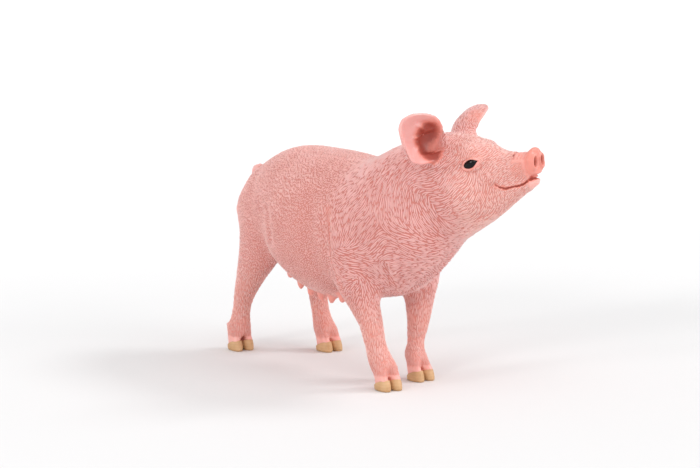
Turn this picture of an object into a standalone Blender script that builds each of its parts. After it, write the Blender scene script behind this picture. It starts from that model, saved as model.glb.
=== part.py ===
"""Toy sow: a solid vinyl farm figure that stands with its head raised and turned to its left.

+X runs from the rump to the snout, +Y to the animal's left, +Z up. The soles stand on z = 0 and the
origin lies on the floor under the middle of the figure's box. Lengths below are in millimetres.

The figure is shaped from lofts and ellipsoids, fused into one body on a fine grid, smoothed where its
parts meet, and thinned. That body is then parted by narrow cuts into the pieces that a person would
name: trunk, neck, head, snout, lower jaw, ears and legs. Tail, eyes and hooves sit in pockets of it.
"""

import math

import bmesh
import bpy
import numpy as np
from mathutils import Matrix, Vector

MM = 0.001

# Driving dimensions of the figure.
BACK_HEIGHT = 57.7
BELLY_HEIGHT = 19.2
HOOF_HEIGHT = 3.2
CUT = 0.3  # width of the cut between two named pieces

# Grid of the fused body, and the triangles that it keeps before it is parted.
VOXEL = 0.5
BODY_TRIANGLES = 4300

# The head's frame: its origin is the middle of the snout disc, its +X the way the snout points.
SNOUT = Vector((59.25, 18.0, 59.83))
HEAD_YAW = math.radians(27)
HEAD_PITCH = math.radians(6)

# Each foot's middle on the floor, and how far its toes turn to the animal's left, in degrees.
FEET = {
    "hind_right": (-35.9, -9.5, -4),
    "hind_left": (-21.2, 9.5, 4),
    "front_right": (30.1, -7.0, -3),
    "front_left": (24.7, 7.0, 3),
}

# The eye: how far it lies behind the snout disc, to the side and up, with its three radii.
EYE_PLACE = (15.0, 6.35, 0.85)
EYE_RADII = (2.0, 1.35, 1.0)
EYE_SLANT = math.radians(-19)
MOUTH_SLOPE = math.radians(-16)
TAIL_RING = 3.2

SIDES = {"right": -1, "left": 1}

# How each ear is held, in degrees: raised, swept back, and turned about its own length; then how far
# its root sits ahead.
EAR_POSE = {"right": (3.5, 0, 0, 0), "left": (1.5, 12.5, 26, 1.4)}
EAR_ROOT = Vector((-24, 8, 7))
EAR_LENGTH = Vector((-1.4, 16.3, 5.0))

# The teats: two rows of this many, from the hindmost on, and the height of the udder's line at places
# along it.
TEATS_A_ROW = 6
FIRST_TEAT = -15.5
TEAT_SPACING = 4.9
TEAT_OUT = 6.4
TEAT_RADII = (1.3, 1.3, 1.9)
TEAT_DROP = 1.0
UDDER_PLACES = [-19, -8, 3, 13]
UDDER_HEIGHTS = [25.4, 21.4, 20.4, 21.8]

# Colours in linear light, roughness and metallic value.
VINYL = {"colour": (0.72, 0.36, 0.31), "roughness": 0.55, "metallic": 0.0}
HORN = {"colour": (0.61, 0.38, 0.18), "roughness": 0.5, "metallic": 0.0}
EYE_BLACK = {"colour": (0.006, 0.006, 0.008), "roughness": 0.12, "metallic": 0.0}


def clear_scene():
    for item in list(bpy.data.objects):
        bpy.data.objects.remove(item)


def collection(name):
    made = bpy.data.collections.new(name)
    bpy.context.scene.collection.children.link(made)
    return made


def material(name, look):
    made = bpy.data.materials.new(name)
    made.use_nodes = True
    shader = made.node_tree.nodes["Principled BSDF"]
    shader.inputs["Base Color"].default_value = (*look["colour"], 1)
    shader.inputs["Roughness"].default_value = look["roughness"]
    shader.inputs["Metallic"].default_value = look["metallic"]
    made.diffuse_color = (*look["colour"], 1)
    return made


# --- shapes -----------------------------------------------------------------------------------


def mesh_object(name, points, faces, group):
    mesh = bpy.data.meshes.new(name)
    mesh.from_pydata([Vector(p) * MM for p in points], [], faces)
    face_outwards(mesh)
    made = bpy.data.objects.new(name, mesh)
    group.objects.link(made)
    return made


def face_outwards(mesh):
    bm = bmesh.new()
    bm.from_mesh(mesh)
    bmesh.ops.recalc_face_normals(bm, faces=bm.faces)
    bm.to_mesh(mesh)
    bm.free()


def eased(keys, count):
    """Rows of numbers along a Catmull-Rom curve through the key rows."""
    keys = np.array(keys, float)
    padded = np.vstack([2 * keys[0] - keys[1], keys, 2 * keys[-1] - keys[-2]])
    rows = []
    for t in np.linspace(0, len(keys) - 1, count):
        i = min(int(t), len(keys) - 2)
        f = t - i
        a, b, c, d = padded[i : i + 4]
        bend = (2 * a - 5 * b + 4 * c - d) * f**2 + (3 * b - a - 3 * c + d) * f**3
        rows.append(0.5 * (2 * b + (c - a) * f + bend))
    return rows


def ring(centre, side, up, half_width, rise, drop, square=2.0, count=28):
    """Points of one closed section: half_width to each side, rise above its centre and drop below it."""
    points = []
    for k in range(count):
        angle = 2 * math.pi * k / count
        c, s = math.cos(angle), math.sin(angle)
        across = half_width * math.copysign(abs(c) ** (2 / square), c)
        upward = (rise if s > 0 else drop) * math.copysign(abs(s) ** (2 / square), s)
        points.append(centre + side * across + up * upward)
    return points


def loft(name, rings, group):
    """A closed skin through rings of equal count, with a fan at each end."""
    count = len(rings[0])
    points = [p for section in rings for p in section]
    faces = []
    for i in range(len(rings) - 1):
        for k in range(count):
            n = (k + 1) % count
            faces.append((i * count + k, i * count + n, (i + 1) * count + n, (i + 1) * count + k))
    for first in (0, (len(rings) - 1) * count):
        middle = len(points)
        points.append(sum(points[first : first + count], Vector()) / count)
        faces.extend((first + k, first + (k + 1) % count, middle) for k in range(count))
    return mesh_object(name, points, faces, group)


def upright_loft(name, keys, group, count=40):
    """Sections across +X. Each key is x, top, bottom, half width, widest level, squareness."""
    side, up = Vector((0, 1, 0)), Vector((0, 0, 1))
    rings = []
    for x, top, bottom, half_width, level, square in eased(keys, count):
        centre = Vector((x, 0, level))
        rings.append(ring(centre, side, up, half_width, top - level, level - bottom, square))
    return loft(name, rings, group)


def profile_loft(name, keys, group, count=32):
    """Sections between an upper and a lower line. Each key is a point of each, then the half width."""
    rings = []
    for row in eased(keys, count):
        top, bottom = Vector(row[:3]), Vector(row[3:6])
        up = (top - bottom).normalized()
        ahead = Vector((up.z, 0, -up.x)) if abs(up.z) > 0.5 else Vector((1, 0, 0))
        side = up.cross(ahead).normalized()
        half = (top - bottom).length / 2
        rings.append(ring((top + bottom) / 2, side, up, row[6], half, half, row[7]))
    return loft(name, rings, group)


def limb(name, keys, group, grow=0.0, ahead=Vector((1, 0, 0)), count=30, sides=24):
    """Sections across a path. Each key is x, y, z of the path, then the fore-and-aft and sideways radii."""
    rows = eased(keys, count)
    centres = [Vector(row[:3]) for row in rows]
    rings = []
    for i, row in enumerate(rows):
        along = (centres[min(i + 1, count - 1)] - centres[max(i - 1, 0)]).normalized()
        ahead = (ahead - along * ahead.dot(along)).normalized()
        side = along.cross(ahead)
        reach = row[3] + grow
        rings.append(ring(centres[i], side, ahead, row[4] + grow, reach, reach, count=sides))
    return loft(name, rings, group)


def ellipsoid(name, centre, radii, group, turn=Matrix.Identity(4), segments=32):
    mesh = bpy.data.meshes.new(name)
    bm = bmesh.new()
    bmesh.ops.create_uvsphere(bm, u_segments=segments, v_segments=segments // 2, radius=1.0)
    size = Matrix.Diagonal((*(Vector(radii) * MM), 1))
    bm.transform(Matrix.Translation(Vector(centre) * MM) @ turn @ size)
    bm.to_mesh(mesh)
    bm.free()
    made = bpy.data.objects.new(name, mesh)
    group.objects.link(made)
    return made


def block(name, frame, low, high, group):
    """A box between two corners given in a frame's own axes."""
    mesh = bpy.data.meshes.new(name)
    bm = bmesh.new()
    bmesh.ops.create_cube(bm, size=1.0)
    low, high = Vector(low), Vector(high)
    place = Matrix.Translation((low + high) / 2) @ Matrix.Diagonal((*(high - low), 1))
    bm.transform(Matrix.Scale(MM, 4) @ frame @ place)
    bm.to_mesh(mesh)
    bm.free()
    made = bpy.data.objects.new(name, mesh)
    group.objects.link(made)
    return made


# --- the head's own axes ----------------------------------------------------------------------


def head_frame():
    """Matrix from the head's own axes (ahead, left, up) to the figure's, in millimetres."""
    flat = math.cos(HEAD_PITCH)
    ahead = Vector((math.cos(HEAD_YAW) * flat, math.sin(HEAD_YAW) * flat, math.sin(HEAD_PITCH)))
    left = Vector((-math.sin(HEAD_YAW), math.cos(HEAD_YAW), 0))
    turned = Matrix((ahead, left, ahead.cross(left))).transposed().to_4x4()
    return Matrix.Translation(SNOUT) @ turned


def head_point(back, left, up):
    """A point given by how far it lies behind the snout disc, to the left and above."""
    return head_frame() @ Vector((-back, left, up))


def head_turn(slant=0.0):
    return head_frame().to_3x3().to_4x4() @ Matrix.Rotation(slant, 4, "Y")


def head_loft(name, keys, group, count=44):
    """Each key is the distance behind the disc, top, bottom, half width, widest level, squareness."""
    turn = head_frame().to_3x3()
    left, up = turn @ Vector((0, 1, 0)), turn @ Vector((0, 0, 1))
    rings = []
    for back, top, bottom, half_width, level, square in eased(keys, count):
        centre = head_point(back, 0, level)
        rings.append(ring(centre, left, up, half_width, top - level, level - bottom, square))
    return loft(name, rings, group)


def head_ellipsoid(name, place, radii, group, slant=0.0, segments=32):
    return ellipsoid(name, head_point(*place), radii, group, head_turn(slant), segments)


# --- the forms that are fused -----------------------------------------------------------------


def trunk_forms(group):
    upright_loft(
        "barrel",
        [
            (-39.5, 44.4, 40.0, 2.5, 42.6, 2.0),
            (-38.2, 46.0, 35.5, 5.1, 41.8, 2.0),
            (-35.0, 49.1, 32.0, 7.9, 41.0, 2.05),
            (-29.5, 53.0, 29.8, 11.3, 40.5, 2.1),
            (-19.0, 57.1, 25.2, 15.3, 39.0, 2.15),
            (-8.0, BACK_HEIGHT, 20.4, 17.4, 37.5, 2.2),
            (3.0, BACK_HEIGHT, BELLY_HEIGHT, 17.4, 37.5, 2.2),
            (13.0, BACK_HEIGHT - 0.5, 20.6, 16.4, 38.0, 2.2),
            (22.0, BACK_HEIGHT, 21.8, 15.1, 39.0, 2.2),
            (29.0, 56.8, 24.0, 12.8, 39.8, 2.1),
            (35.0, 52.3, 28.8, 10.2, 40.4, 2.0),
            (39.0, 47.4, 33.6, 6.6, 40.6, 2.0),
            (40.9, 43.6, 37.6, 2.6, 40.6, 2.0),
        ],
        group,
        count=56,
    )
    for side in SIDES.values():
        ellipsoid("ham", (-27.8, side * 7.8, 38.8), (8.8, 5.4, 12.0), group)


def neck_forms(group):
    # Points of the crest, points of the throat, half width, squareness.
    profile_loft(
        "neck",
        [
            (13.0, 0.0, 56.3, 22.0, 0.0, 24.0, 15.0, 2.1),
            (21.5, 0.7, 59.8, 32.5, 2.0, 26.5, 14.4, 2.1),
            (28.8, 3.0, 63.0, 37.8, 6.0, 34.8, 12.8, 2.1),
            (35.2, 6.0, 65.2, 42.2, 9.8, 40.2, 11.2, 2.1),
            (40.0, 8.4, 65.4, 45.8, 12.9, 45.0, 9.4, 2.1),
        ],
        group,
    )


def head_forms(group):
    head_loft(
        "skull",
        [
            (-0.3, 3.5, -3.2, 3.6, 0.2, 2.3),
            (0.9, 3.9, -3.9, 4.1, 0.2, 2.3),
            (2.2, 3.1, -4.4, 3.8, 0.0, 2.3),
            (4.0, 2.6, -4.6, 3.9, -0.5, 2.4),
            (6.5, 2.9, -5.6, 4.4, -0.9, 2.4),
            (9.1, 3.4, -6.6, 5.1, -1.1, 2.4),
            (11.2, 4.6, -7.4, 5.9, -1.0, 2.3),
            (13.0, 5.4, -8.2, 6.6, -0.8, 2.3),
            (16.1, 6.8, -9.4, 7.6, -0.6, 2.2),
            (21.1, 8.4, -11.5, 8.5, -0.5, 2.2),
            (25.7, 8.7, -12.5, 8.8, -0.5, 2.2),
            (31.0, 7.0, -12.0, 8.2, -0.5, 2.1),
            (35.0, 3.5, -8.0, 5.0, -1.0, 2.0),
        ],
        group,
    )
    head_loft(
        "jaw",
        [
            (0.1, -4.9, -6.3, 1.6, -5.6, 2.0),
            (1.4, -4.2, -6.9, 2.5, -5.5, 2.0),
            (3.8, -4.0, -8.2, 3.2, -5.6, 2.1),
            (6.5, -4.2, -10.1, 3.9, -6.2, 2.1),
            (10.3, -5.0, -12.8, 4.9, -7.0, 2.1),
            (13.7, -5.5, -14.8, 5.9, -7.6, 2.1),
            (18.0, -6.0, -17.0, 7.2, -8.4, 2.1),
            (23.0, -6.5, -19.6, 8.0, -9.5, 2.1),
            (28.0, -8.0, -20.0, 6.5, -12.0, 2.0),
        ],
        group,
    )
    for side in SIDES.values():
        head_ellipsoid("cheek", (20.5, side * 4.6, -6.5), (8.0, 5.2, 7.5), group)
        head_ellipsoid("brow", (16.6, side * 5.0, 3.4), (4.2, 2.8, 3.0), group)


def ear_turn(which, side):
    """Holds one ear as EAR_POSE says, about its root on the head."""
    raised, swept, rolled, ahead = EAR_POSE[which]
    mirror = Vector((1, side, 1))
    root, length = EAR_ROOT * mirror, EAR_LENGTH * mirror
    lift = Matrix.Rotation(side * math.radians(raised), 4, "X")
    sweep = Matrix.Rotation(side * math.radians(swept), 4, "Z")
    roll = Matrix.Rotation(side * math.radians(rolled), 4, length.normalized())
    moved = root + Vector((ahead, 0, 0))
    return Matrix.Translation(moved) @ lift @ sweep @ roll @ Matrix.Translation(-root)


def ear(which, side, group):
    """A cupped leaf. Each key is a point of the upper rim, of the hollow's floor and of the lower rim,
    each as the distance behind the disc, to the side and up, and then the wall's thickness."""
    keys = [
        (21.5, 5.2, 7.6, 25.6, 5.0, 4.5, 22.5, 6.2, 1.0, 1.7),
        (21.3, 7.6, 11.3, 26.6, 8.0, 6.3, 23.4, 10.2, 2.0, 1.7),
        (21.2, 11.2, 13.0, 27.1, 11.0, 7.6, 24.4, 13.8, 1.7, 1.6),
        (21.5, 15.6, 13.7, 27.1, 14.8, 8.6, 25.0, 17.6, 2.6, 1.5),
        (22.7, 19.8, 13.9, 26.5, 19.0, 9.8, 24.8, 20.8, 5.4, 1.4),
        (24.4, 22.8, 13.3, 25.6, 22.5, 11.2, 24.8, 23.0, 9.0, 1.3),
    ]
    place = head_frame() @ ear_turn(which, side)
    steps = 12
    rings = []
    for row in eased(keys, 22):
        upper, floor, lower = (
            place @ Vector((-row[i], side * row[i + 1], row[i + 2])) for i in (0, 3, 6)
        )
        pull = floor * 2 - (upper + lower) / 2
        outwards = (lower - upper).cross(floor - upper).normalized()
        inner, outer = [], []
        for k in range(steps + 1):
            t = k / steps
            point = upper * (1 - t) ** 2 + pull * 2 * t * (1 - t) + lower * t**2
            along = ((pull - upper) * (1 - t) + (lower - pull) * t).normalized()
            behind = outwards.cross(along)
            if behind.dot(floor - (upper + lower) / 2) < 0:
                behind = -behind
            wall = row[9] * (1 - 0.35 * abs(2 * t - 1) ** 5)
            inner.append(point)
            outer.append(point + behind * wall)
        rings.append(inner + outer[::-1])
    return loft("ear_" + which, rings, group)


# Each leg's path from the body down to the pastern, with its fore-and-aft and sideways radii.
LEGS = {
    "foreleg_right": [
        (17.5, -9.8, 44.0, 8.5, 5.0),
        (18.5, -10.8, 36.0, 9.2, 5.6),
        (20.9, -10.5, 28.0, 6.9, 5.0),
        (24.1, -9.5, 20.5, 4.3, 3.9),
        (26.4, -8.7, 15.0, 3.2, 3.1),
        (27.7, -8.1, 10.5, 2.9, 2.8),
        (28.6, -7.4, 6.5, 3.4, 3.3),
        (29.3, -7.1, 4.6, 3.5, 3.4),
    ],
    "foreleg_left": [
        (18.5, 9.8, 44.0, 8.4, 5.0),
        (19.3, 10.6, 36.0, 9.0, 5.6),
        (20.3, 10.2, 28.0, 6.9, 4.9),
        (21.6, 9.1, 20.5, 4.5, 3.9),
        (22.4, 8.2, 15.0, 3.3, 3.3),
        (22.5, 7.5, 10.5, 2.8, 2.7),
        (23.3, 7.2, 6.5, 3.1, 3.0),
        (23.9, 7.1, 4.6, 3.5, 3.4),
    ],
    "hindleg_right": [
        (-24.5, -8.0, 46.0, 9.4, 4.6),
        (-23.6, -9.2, 38.0, 9.8, 5.0),
        (-25.4, -9.5, 30.0, 8.2, 4.8),
        (-29.4, -9.7, 22.5, 5.1, 3.9),
        (-33.3, -9.7, 15.5, 3.3, 3.1),
        (-35.0, -9.6, 10.5, 2.8, 2.7),
        (-35.8, -9.5, 6.5, 3.4, 3.3),
        (-36.2, -9.5, 4.6, 3.5, 3.4),
    ],
    "hindleg_left": [
        (-23.5, 8.0, 46.0, 9.4, 4.6),
        (-23.0, 9.2, 38.0, 9.8, 5.0),
        (-23.6, 9.6, 30.0, 8.4, 4.8),
        (-25.3, 9.6, 22.5, 5.1, 3.9),
        (-26.1, 9.5, 15.5, 3.2, 3.1),
        (-25.1, 9.5, 10.5, 2.8, 2.7),
        (-23.3, 9.5, 6.5, 3.2, 3.1),
        (-22.4, 9.5, 4.6, 3.5, 3.4),
    ],
}


def foot_frame(foot):
    x, y, turned = FEET[foot]
    return Matrix.Translation((x, y, 0)) @ Matrix.Rotation(math.radians(turned), 4, "Z")


# Toe sections by height: height, forward shift of the middle, half length, half width.
TOE = [
    (0.0, 0.35, 3.2, 1.42),
    (1.4, 0.2, 3.15, 1.52),
    (HOOF_HEIGHT, -0.25, 2.95, 1.54),
    (5.0, -0.7, 2.7, 1.6),
    (7.0, -1.0, 2.2, 1.5),
]
TOE_SPREAD = 1.77


def toe(name, foot, side, low, high, group, sides=14):
    """One toe of a cloven foot between two heights, flat at both ends."""
    frame = foot_frame(foot)
    splayed = (frame @ Matrix.Rotation(side * math.radians(4), 4, "Z")).to_3x3()
    ahead, across = splayed @ Vector((1, 0, 0)), splayed @ Vector((0, 1, 0))
    heights = [row[0] for row in TOE]
    rings = []
    for height in np.linspace(low, high, 4):
        shift, half_length, half_width = (
            float(np.interp(height, heights, [row[i] for row in TOE])) for i in (1, 2, 3)
        )
        centre = frame @ Vector((shift, side * TOE_SPREAD, height))
        rings.append(ring(centre, across, ahead, half_width, half_length, half_length, 2.3, sides))
    return loft(name, rings, group)


def leg_forms(group):
    for name, keys in LEGS.items():
        limb(name, keys, group)
    for foot in FEET:
        for side in SIDES.values():
            toe("toe flesh", foot, side, HOOF_HEIGHT - 0.4, TOE[-1][0], group)
            dewclaw = foot_frame(foot) @ Vector((-3.9, side * 1.9, 6.6))
            ellipsoid("dewclaw", dewclaw, (1.0, 0.8, 1.4), group, segments=16)


def teat_forms(group):
    """Two rows of teats along the udder."""
    for side in SIDES.values():
        for k in range(TEATS_A_ROW):
            x = FIRST_TEAT + TEAT_SPACING * k
            udder = float(np.interp(x, UDDER_PLACES, UDDER_HEIGHTS))
            place = (x, side * TEAT_OUT, udder - TEAT_DROP)
            ellipsoid("teat", place, TEAT_RADII, group, segments=16)


# --- the fused body ---------------------------------------------------------------------------


def fuse(group, name, into):
    """All the forms as one closed surface on a fine grid."""
    bm = bmesh.new()
    for item in list(group.objects):
        bm.from_mesh(item.data)
    mesh = bpy.data.meshes.new(name)
    bm.to_mesh(mesh)
    bm.free()
    made = bpy.data.objects.new(name, mesh)
    into.objects.link(made)
    grid = made.modifiers.new("grid", "REMESH")
    grid.mode = "VOXEL"
    grid.voxel_size = VOXEL * MM
    bake(made)
    for item in list(group.objects):
        bpy.data.objects.remove(item)
    return made


def bake(item):
    """Replaces an object's mesh by what its modifiers make of it."""
    graph = bpy.context.evaluated_depsgraph_get()
    bpy.context.view_layer.update()
    mesh = bpy.data.meshes.new_from_object(item.evaluated_get(graph))
    item.modifiers.clear()
    item.data = mesh


def coordinates(mesh):
    points = np.empty(len(mesh.vertices) * 3)
    mesh.vertices.foreach_get("co", points)
    return points.reshape(-1, 3) / MM


def set_coordinates(mesh, points):
    mesh.vertices.foreach_set("co", (points * MM).ravel())
    mesh.update()


def near(points, centre, radius):
    """1 at a point, fading to 0 at the radius around it."""
    away = np.linalg.norm(points - np.array(centre), axis=1) / radius
    return np.clip(1 - away**2, 0, 1) ** 2


def smooth(body, repeat, weights):
    """Softens the surface where the weights, one a vertex, are above zero."""
    group = body.vertex_groups.new(name="soft")
    for level in np.linspace(0.1, 1.0, 10):
        chosen = np.nonzero(np.abs(weights - level) <= 0.05)[0]
        group.add([int(i) for i in chosen], float(level), "REPLACE")
    soften = body.modifiers.new("soften", "SMOOTH")
    soften.factor = 0.5
    soften.iterations = repeat
    soften.vertex_group = group.name
    bake(body)
    body.vertex_groups.clear()


def soften_junctions(body):
    points = coordinates(body.data)
    keep = np.zeros(len(points))
    for side in SIDES.values():
        keep = np.maximum(keep, near(points, head_point(24.5, side * 17, 8.5), 12.5) * 1.7)
        teats = near(points * (0.35, 1, 1), (-3 * 0.35, side * TEAT_OUT, 19.5), 5.5)
        keep = np.maximum(keep, teats * 1.6)
    keep = np.maximum(keep, near(points, head_point(2.0, 0, -1), 9.5) * 1.5)
    feet = np.clip((10 - points[:, 2]) / 5, 0, 1)
    weights = np.clip(1 - keep, 0, 1) * (1 - feet)
    smooth(body, 55, weights)
    smooth(body, 3, np.ones(len(points)))


def groove(points, normals, path, width, depth):
    """Presses a furrow along a path, deepest on its line."""
    path = [np.array(p, float) for p in path]
    best = np.full(len(points), 1e9)
    for a, b in zip(path, path[1:]):
        span = b - a
        t = np.clip((points - a) @ span / (span @ span), 0, 1)
        away = np.linalg.norm(points - (a + t[:, None] * span), axis=1)
        best = np.minimum(best, away)
    points -= normals * (depth * np.exp(-((best / width) ** 2)))[:, None]


def press_features(body):
    """Presses the folds, eye hollows and snout rim into the fused body."""
    mesh = body.data
    points = coordinates(mesh)
    normals = np.empty(len(points) * 3)
    mesh.vertices.foreach_get("normal", normals)
    normals = normals.reshape(-1, 3)
    for side in SIDES.values():
        # The flank's folds behind the shoulder and before the thigh.
        shoulder = [(7.5, side * 17, 46), (8.0, side * 16, 37), (9.5, side * 14, 29), (12, side * 9, 23)]
        thigh = [(-15.5, side * 15.4, 41), (-16.5, side * 14.5, 33), (-19.5, side * 12, 26)]
        groove(points, normals, shoulder, 3.2, 0.9)
        groove(points, normals, thigh, 3.2, 0.9)
        eye = head_point(EYE_PLACE[0], side * 7.4, EYE_PLACE[2])
        points -= normals * (0.5 * near(points, eye, 3.6))[:, None]
        corner = [head_point(10.5, side * 5.6, 2.3), head_point(12.6, side * 6.9, 1.9)]
        groove(points, normals, corner, 0.9, 0.35)
    # The cleft between the hams, under the tail.
    groove(points, normals, [(-41, 0, 45), (-40.5, 0, 37), (-36, 0, 29)], 1.8, 1.3)
    set_coordinates(mesh, points)


def thin(body):
    """Fewer, larger triangles, which follow the curvature."""
    count = len(body.data.polygons) * 2
    fewer = body.modifiers.new("fewer", "DECIMATE")
    fewer.ratio = BODY_TRIANGLES / count
    bake(body)


# --- parting the body -------------------------------------------------------------------------


def boolean(item, other, operation):
    cut = item.modifiers.new(other.name, "BOOLEAN")
    cut.operation = operation
    cut.solver = "EXACT"
    cut.object = other
    bake(item)


def duplicate(item, name, group):
    made = bpy.data.objects.new(name, item.data.copy())
    group.objects.link(made)
    return made


def part_off(name, whole, region, group):
    """Moves what lies inside a region to a new piece, and leaves a narrow cut around it.

    region() builds the region, wider on every side by the length that it is given."""
    piece = duplicate(whole, name, group)
    boolean(piece, hide_cutter(region(0.0)), "INTERSECT")
    boolean(whole, hide_cutter(region(CUT)), "DIFFERENCE")
    return piece


def hide_cutter(item):
    item.hide_render = True
    item.display_type = "WIRE"
    return item


def box_region(name, frame, low, high, group):
    spread = Vector((1, 1, 1))
    low, high = Vector(low), Vector(high)
    return lambda grow: block(name, frame, low - spread * grow, high + spread * grow, group)


def ball_region(name, place, radii, group):
    spread = Vector((1, 1, 1))
    radii = Vector(radii)
    return lambda grow: head_ellipsoid(name, place, radii + spread * grow, group, segments=14)


def limb_region(name, keys, group):
    return lambda grow: limb(name, keys, group, grow, count=10, sides=14)


def part_head(body, pieces, cutters):
    """Parts ears, lower jaw, snout, head and neck from the body."""
    for name, side in SIDES.items():
        around = ball_region("ear region", (26.0, side * 17.8, 8.0), (8.2, 9.2, 10.0), cutters)
        part_off("ear_" + name, body, around, pieces)
    disc = head_frame()
    lips = disc @ Matrix.Translation((1, 0, -3.5)) @ Matrix.Rotation(MOUTH_SLOPE, 4, "Y")
    nape = disc @ Matrix.Translation((-28, 0, 0)) @ Matrix.Rotation(math.radians(-14), 4, "Y")
    withers = Matrix.Translation((27.5, 0, 44)) @ Matrix.Rotation(math.radians(-24), 4, "Y")
    for name, frame, low, high in (
        ("lower_jaw", lips, (-11.4, -9, -16), (4, 9, 0)),
        ("snout", disc, (-4.6, -9, -12), (4, 9, 9)),
        ("head", nape, (0, -18, -24), (30, 18, 18)),
        ("neck", withers, (0, -24, -40), (40, 30, 26)),
    ):
        part_off(name, body, box_region(name + " region", frame, low, high, cutters), pieces)


def part_legs(body, pieces, cutters):
    """Each leg's region is a tube around it that ends in a dome within the body's side."""
    for name, path in LEGS.items():
        side = math.copysign(1, path[0][1])
        hip, foot = path[1], path[-1]
        clear = abs(foot[1]) - 0.6  # keeps the tube off the other leg
        keys = [
            (foot[0] + 0.8, foot[1], -2.0, 9.0, clear),
            (foot[0] + 0.8, foot[1], 7.0, 8.5, clear),
            ((hip[0] + foot[0]) / 2, side * 11.5, 18.0, 9.5, 8.6),
            (hip[0], side * 15.0, 27.0, 11.6, 10.6),
            (hip[0], side * 17.0, 36.0, 11.0, 10.0),
            (hip[0], side * 18.0, 43.0, 7.0, 7.0),
            (hip[0], side * 18.4, 45.5, 1.5, 1.5),
        ]
        part_off(name, body, limb_region(name + " region", keys, cutters), pieces)


def tail_keys():
    """A tail that hangs from the rump and ends in most of a ring that winds away from it."""
    keys = [
        (-37.6, 0.0, 47.4, 1.7, 1.7),
        (-41.2, 0.0, 48.7, 1.6, 1.6),
        (-43.0, 0.3, 46.4, 1.35, 1.35),
        (-43.4, 0.9, 43.0, 1.2, 1.2),
    ]
    steps = 9
    for k in range(steps):
        t = k / (steps - 1)
        angle = math.radians(60 - 288 * t)
        radius = 1.1 - 0.5 * t
        y, z = TAIL_RING * math.cos(angle) - 0.6, TAIL_RING * math.sin(angle) + 36.6
        keys.append((-43.3 - 2.8 * t, y, z, radius, radius))
    return keys


def tail(name, group, grow=0.0):
    return limb(name, tail_keys(), group, grow, ahead=Vector((0, 1, 0)), count=30, sides=8)


def eye(name, side, group, grow=0.0):
    back, out, up = EYE_PLACE
    radii = Vector(EYE_RADII) + Vector((grow, grow, grow))
    return head_ellipsoid(name, (back, side * out, up), radii, group, EYE_SLANT, segments=14)


def seat_small_pieces(body, pieces, cutters):
    """Tail and eyes are their own solids, each in a pocket that clears it by the cut."""
    tail("tail", pieces)
    boolean(body, hide_cutter(tail("tail pocket", cutters, CUT)), "DIFFERENCE")
    for name, side in SIDES.items():
        eye("eye_" + name, side, pieces)
        socket = hide_cutter(eye("eye socket", side, cutters, CUT))
        boolean(pieces.objects["head"], socket, "DIFFERENCE")
    for foot in FEET:
        outer = -1 if foot.endswith("right") else 1
        for name, side in (("outer", outer), ("inner", -outer)):
            toe("hoof_" + foot + "_" + name, foot, side, 0.0, HOOF_HEIGHT, pieces)


def pierce_nostrils(snout, cutters):
    for side in SIDES.values():
        place = (0.2, side * 1.75, 0.5)
        hole = head_ellipsoid("nostril", place, (1.5, 0.7, 1.4), cutters, segments=12)
        boolean(snout, hide_cutter(hole), "DIFFERENCE")


def paint(pieces):
    looks = {"eye": material("eye_black", EYE_BLACK), "hoof": material("hoof_tan", HORN)}
    vinyl = material("pink_vinyl", VINYL)
    for item in pieces.objects:
        item.data.materials.clear()
        item.data.materials.append(looks.get(item.name.split("_")[0], vinyl))
        item.data.shade_smooth()
        item.data.set_sharp_from_angle(angle=math.radians(40))


def centre_on_floor(pieces):
    """Moves the origin to the floor under the middle of the figure's box."""
    points = np.vstack([coordinates(item.data) for item in pieces.objects])
    low, high = points.min(axis=0), points.max(axis=0)
    middle = np.array([(low[0] + high[0]) / 2, (low[1] + high[1]) / 2, 0.0])
    for item in pieces.objects:
        set_coordinates(item.data, coordinates(item.data) - middle)


def main():
    clear_scene()
    forms = collection("forms")
    pieces = collection("toy_sow")
    cutters = collection("cutters")
    trunk_forms(forms)
    neck_forms(forms)
    head_forms(forms)
    leg_forms(forms)
    teat_forms(forms)
    for which, side in SIDES.items():
        ear(which, side, forms)
    body = fuse(forms, "trunk", pieces)
    soften_junctions(body)
    press_features(body)
    thin(body)
    low, high = (-60, -30, -5), (60, 30, HOOF_HEIGHT + CUT)
    boolean(body, hide_cutter(block("hoof cut", Matrix.Identity(4), low, high, cutters)), "DIFFERENCE")
    part_head(body, pieces, cutters)
    pierce_nostrils(pieces.objects["snout"], cutters)
    part_legs(body, pieces, cutters)
    seat_small_pieces(body, pieces, cutters)
    paint(pieces)
    centre_on_floor(pieces)


main()
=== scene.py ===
"""Looks of the toy sow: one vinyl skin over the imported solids, with its hair relief, eyes and hooves.

Lengths are in millimetres, and become metres where a mesh or an object takes them. The skin is the
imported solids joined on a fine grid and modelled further: lids, mouth, nostrils, ear folds, wrinkles.
The hair is short raised strokes that follow its lie over the skin, as the toy's mould gives it.
"""

import math

import bmesh
import bpy
import numpy as np
from mathutils import Matrix, Vector
from mathutils.bvhtree import BVHTree


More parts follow.
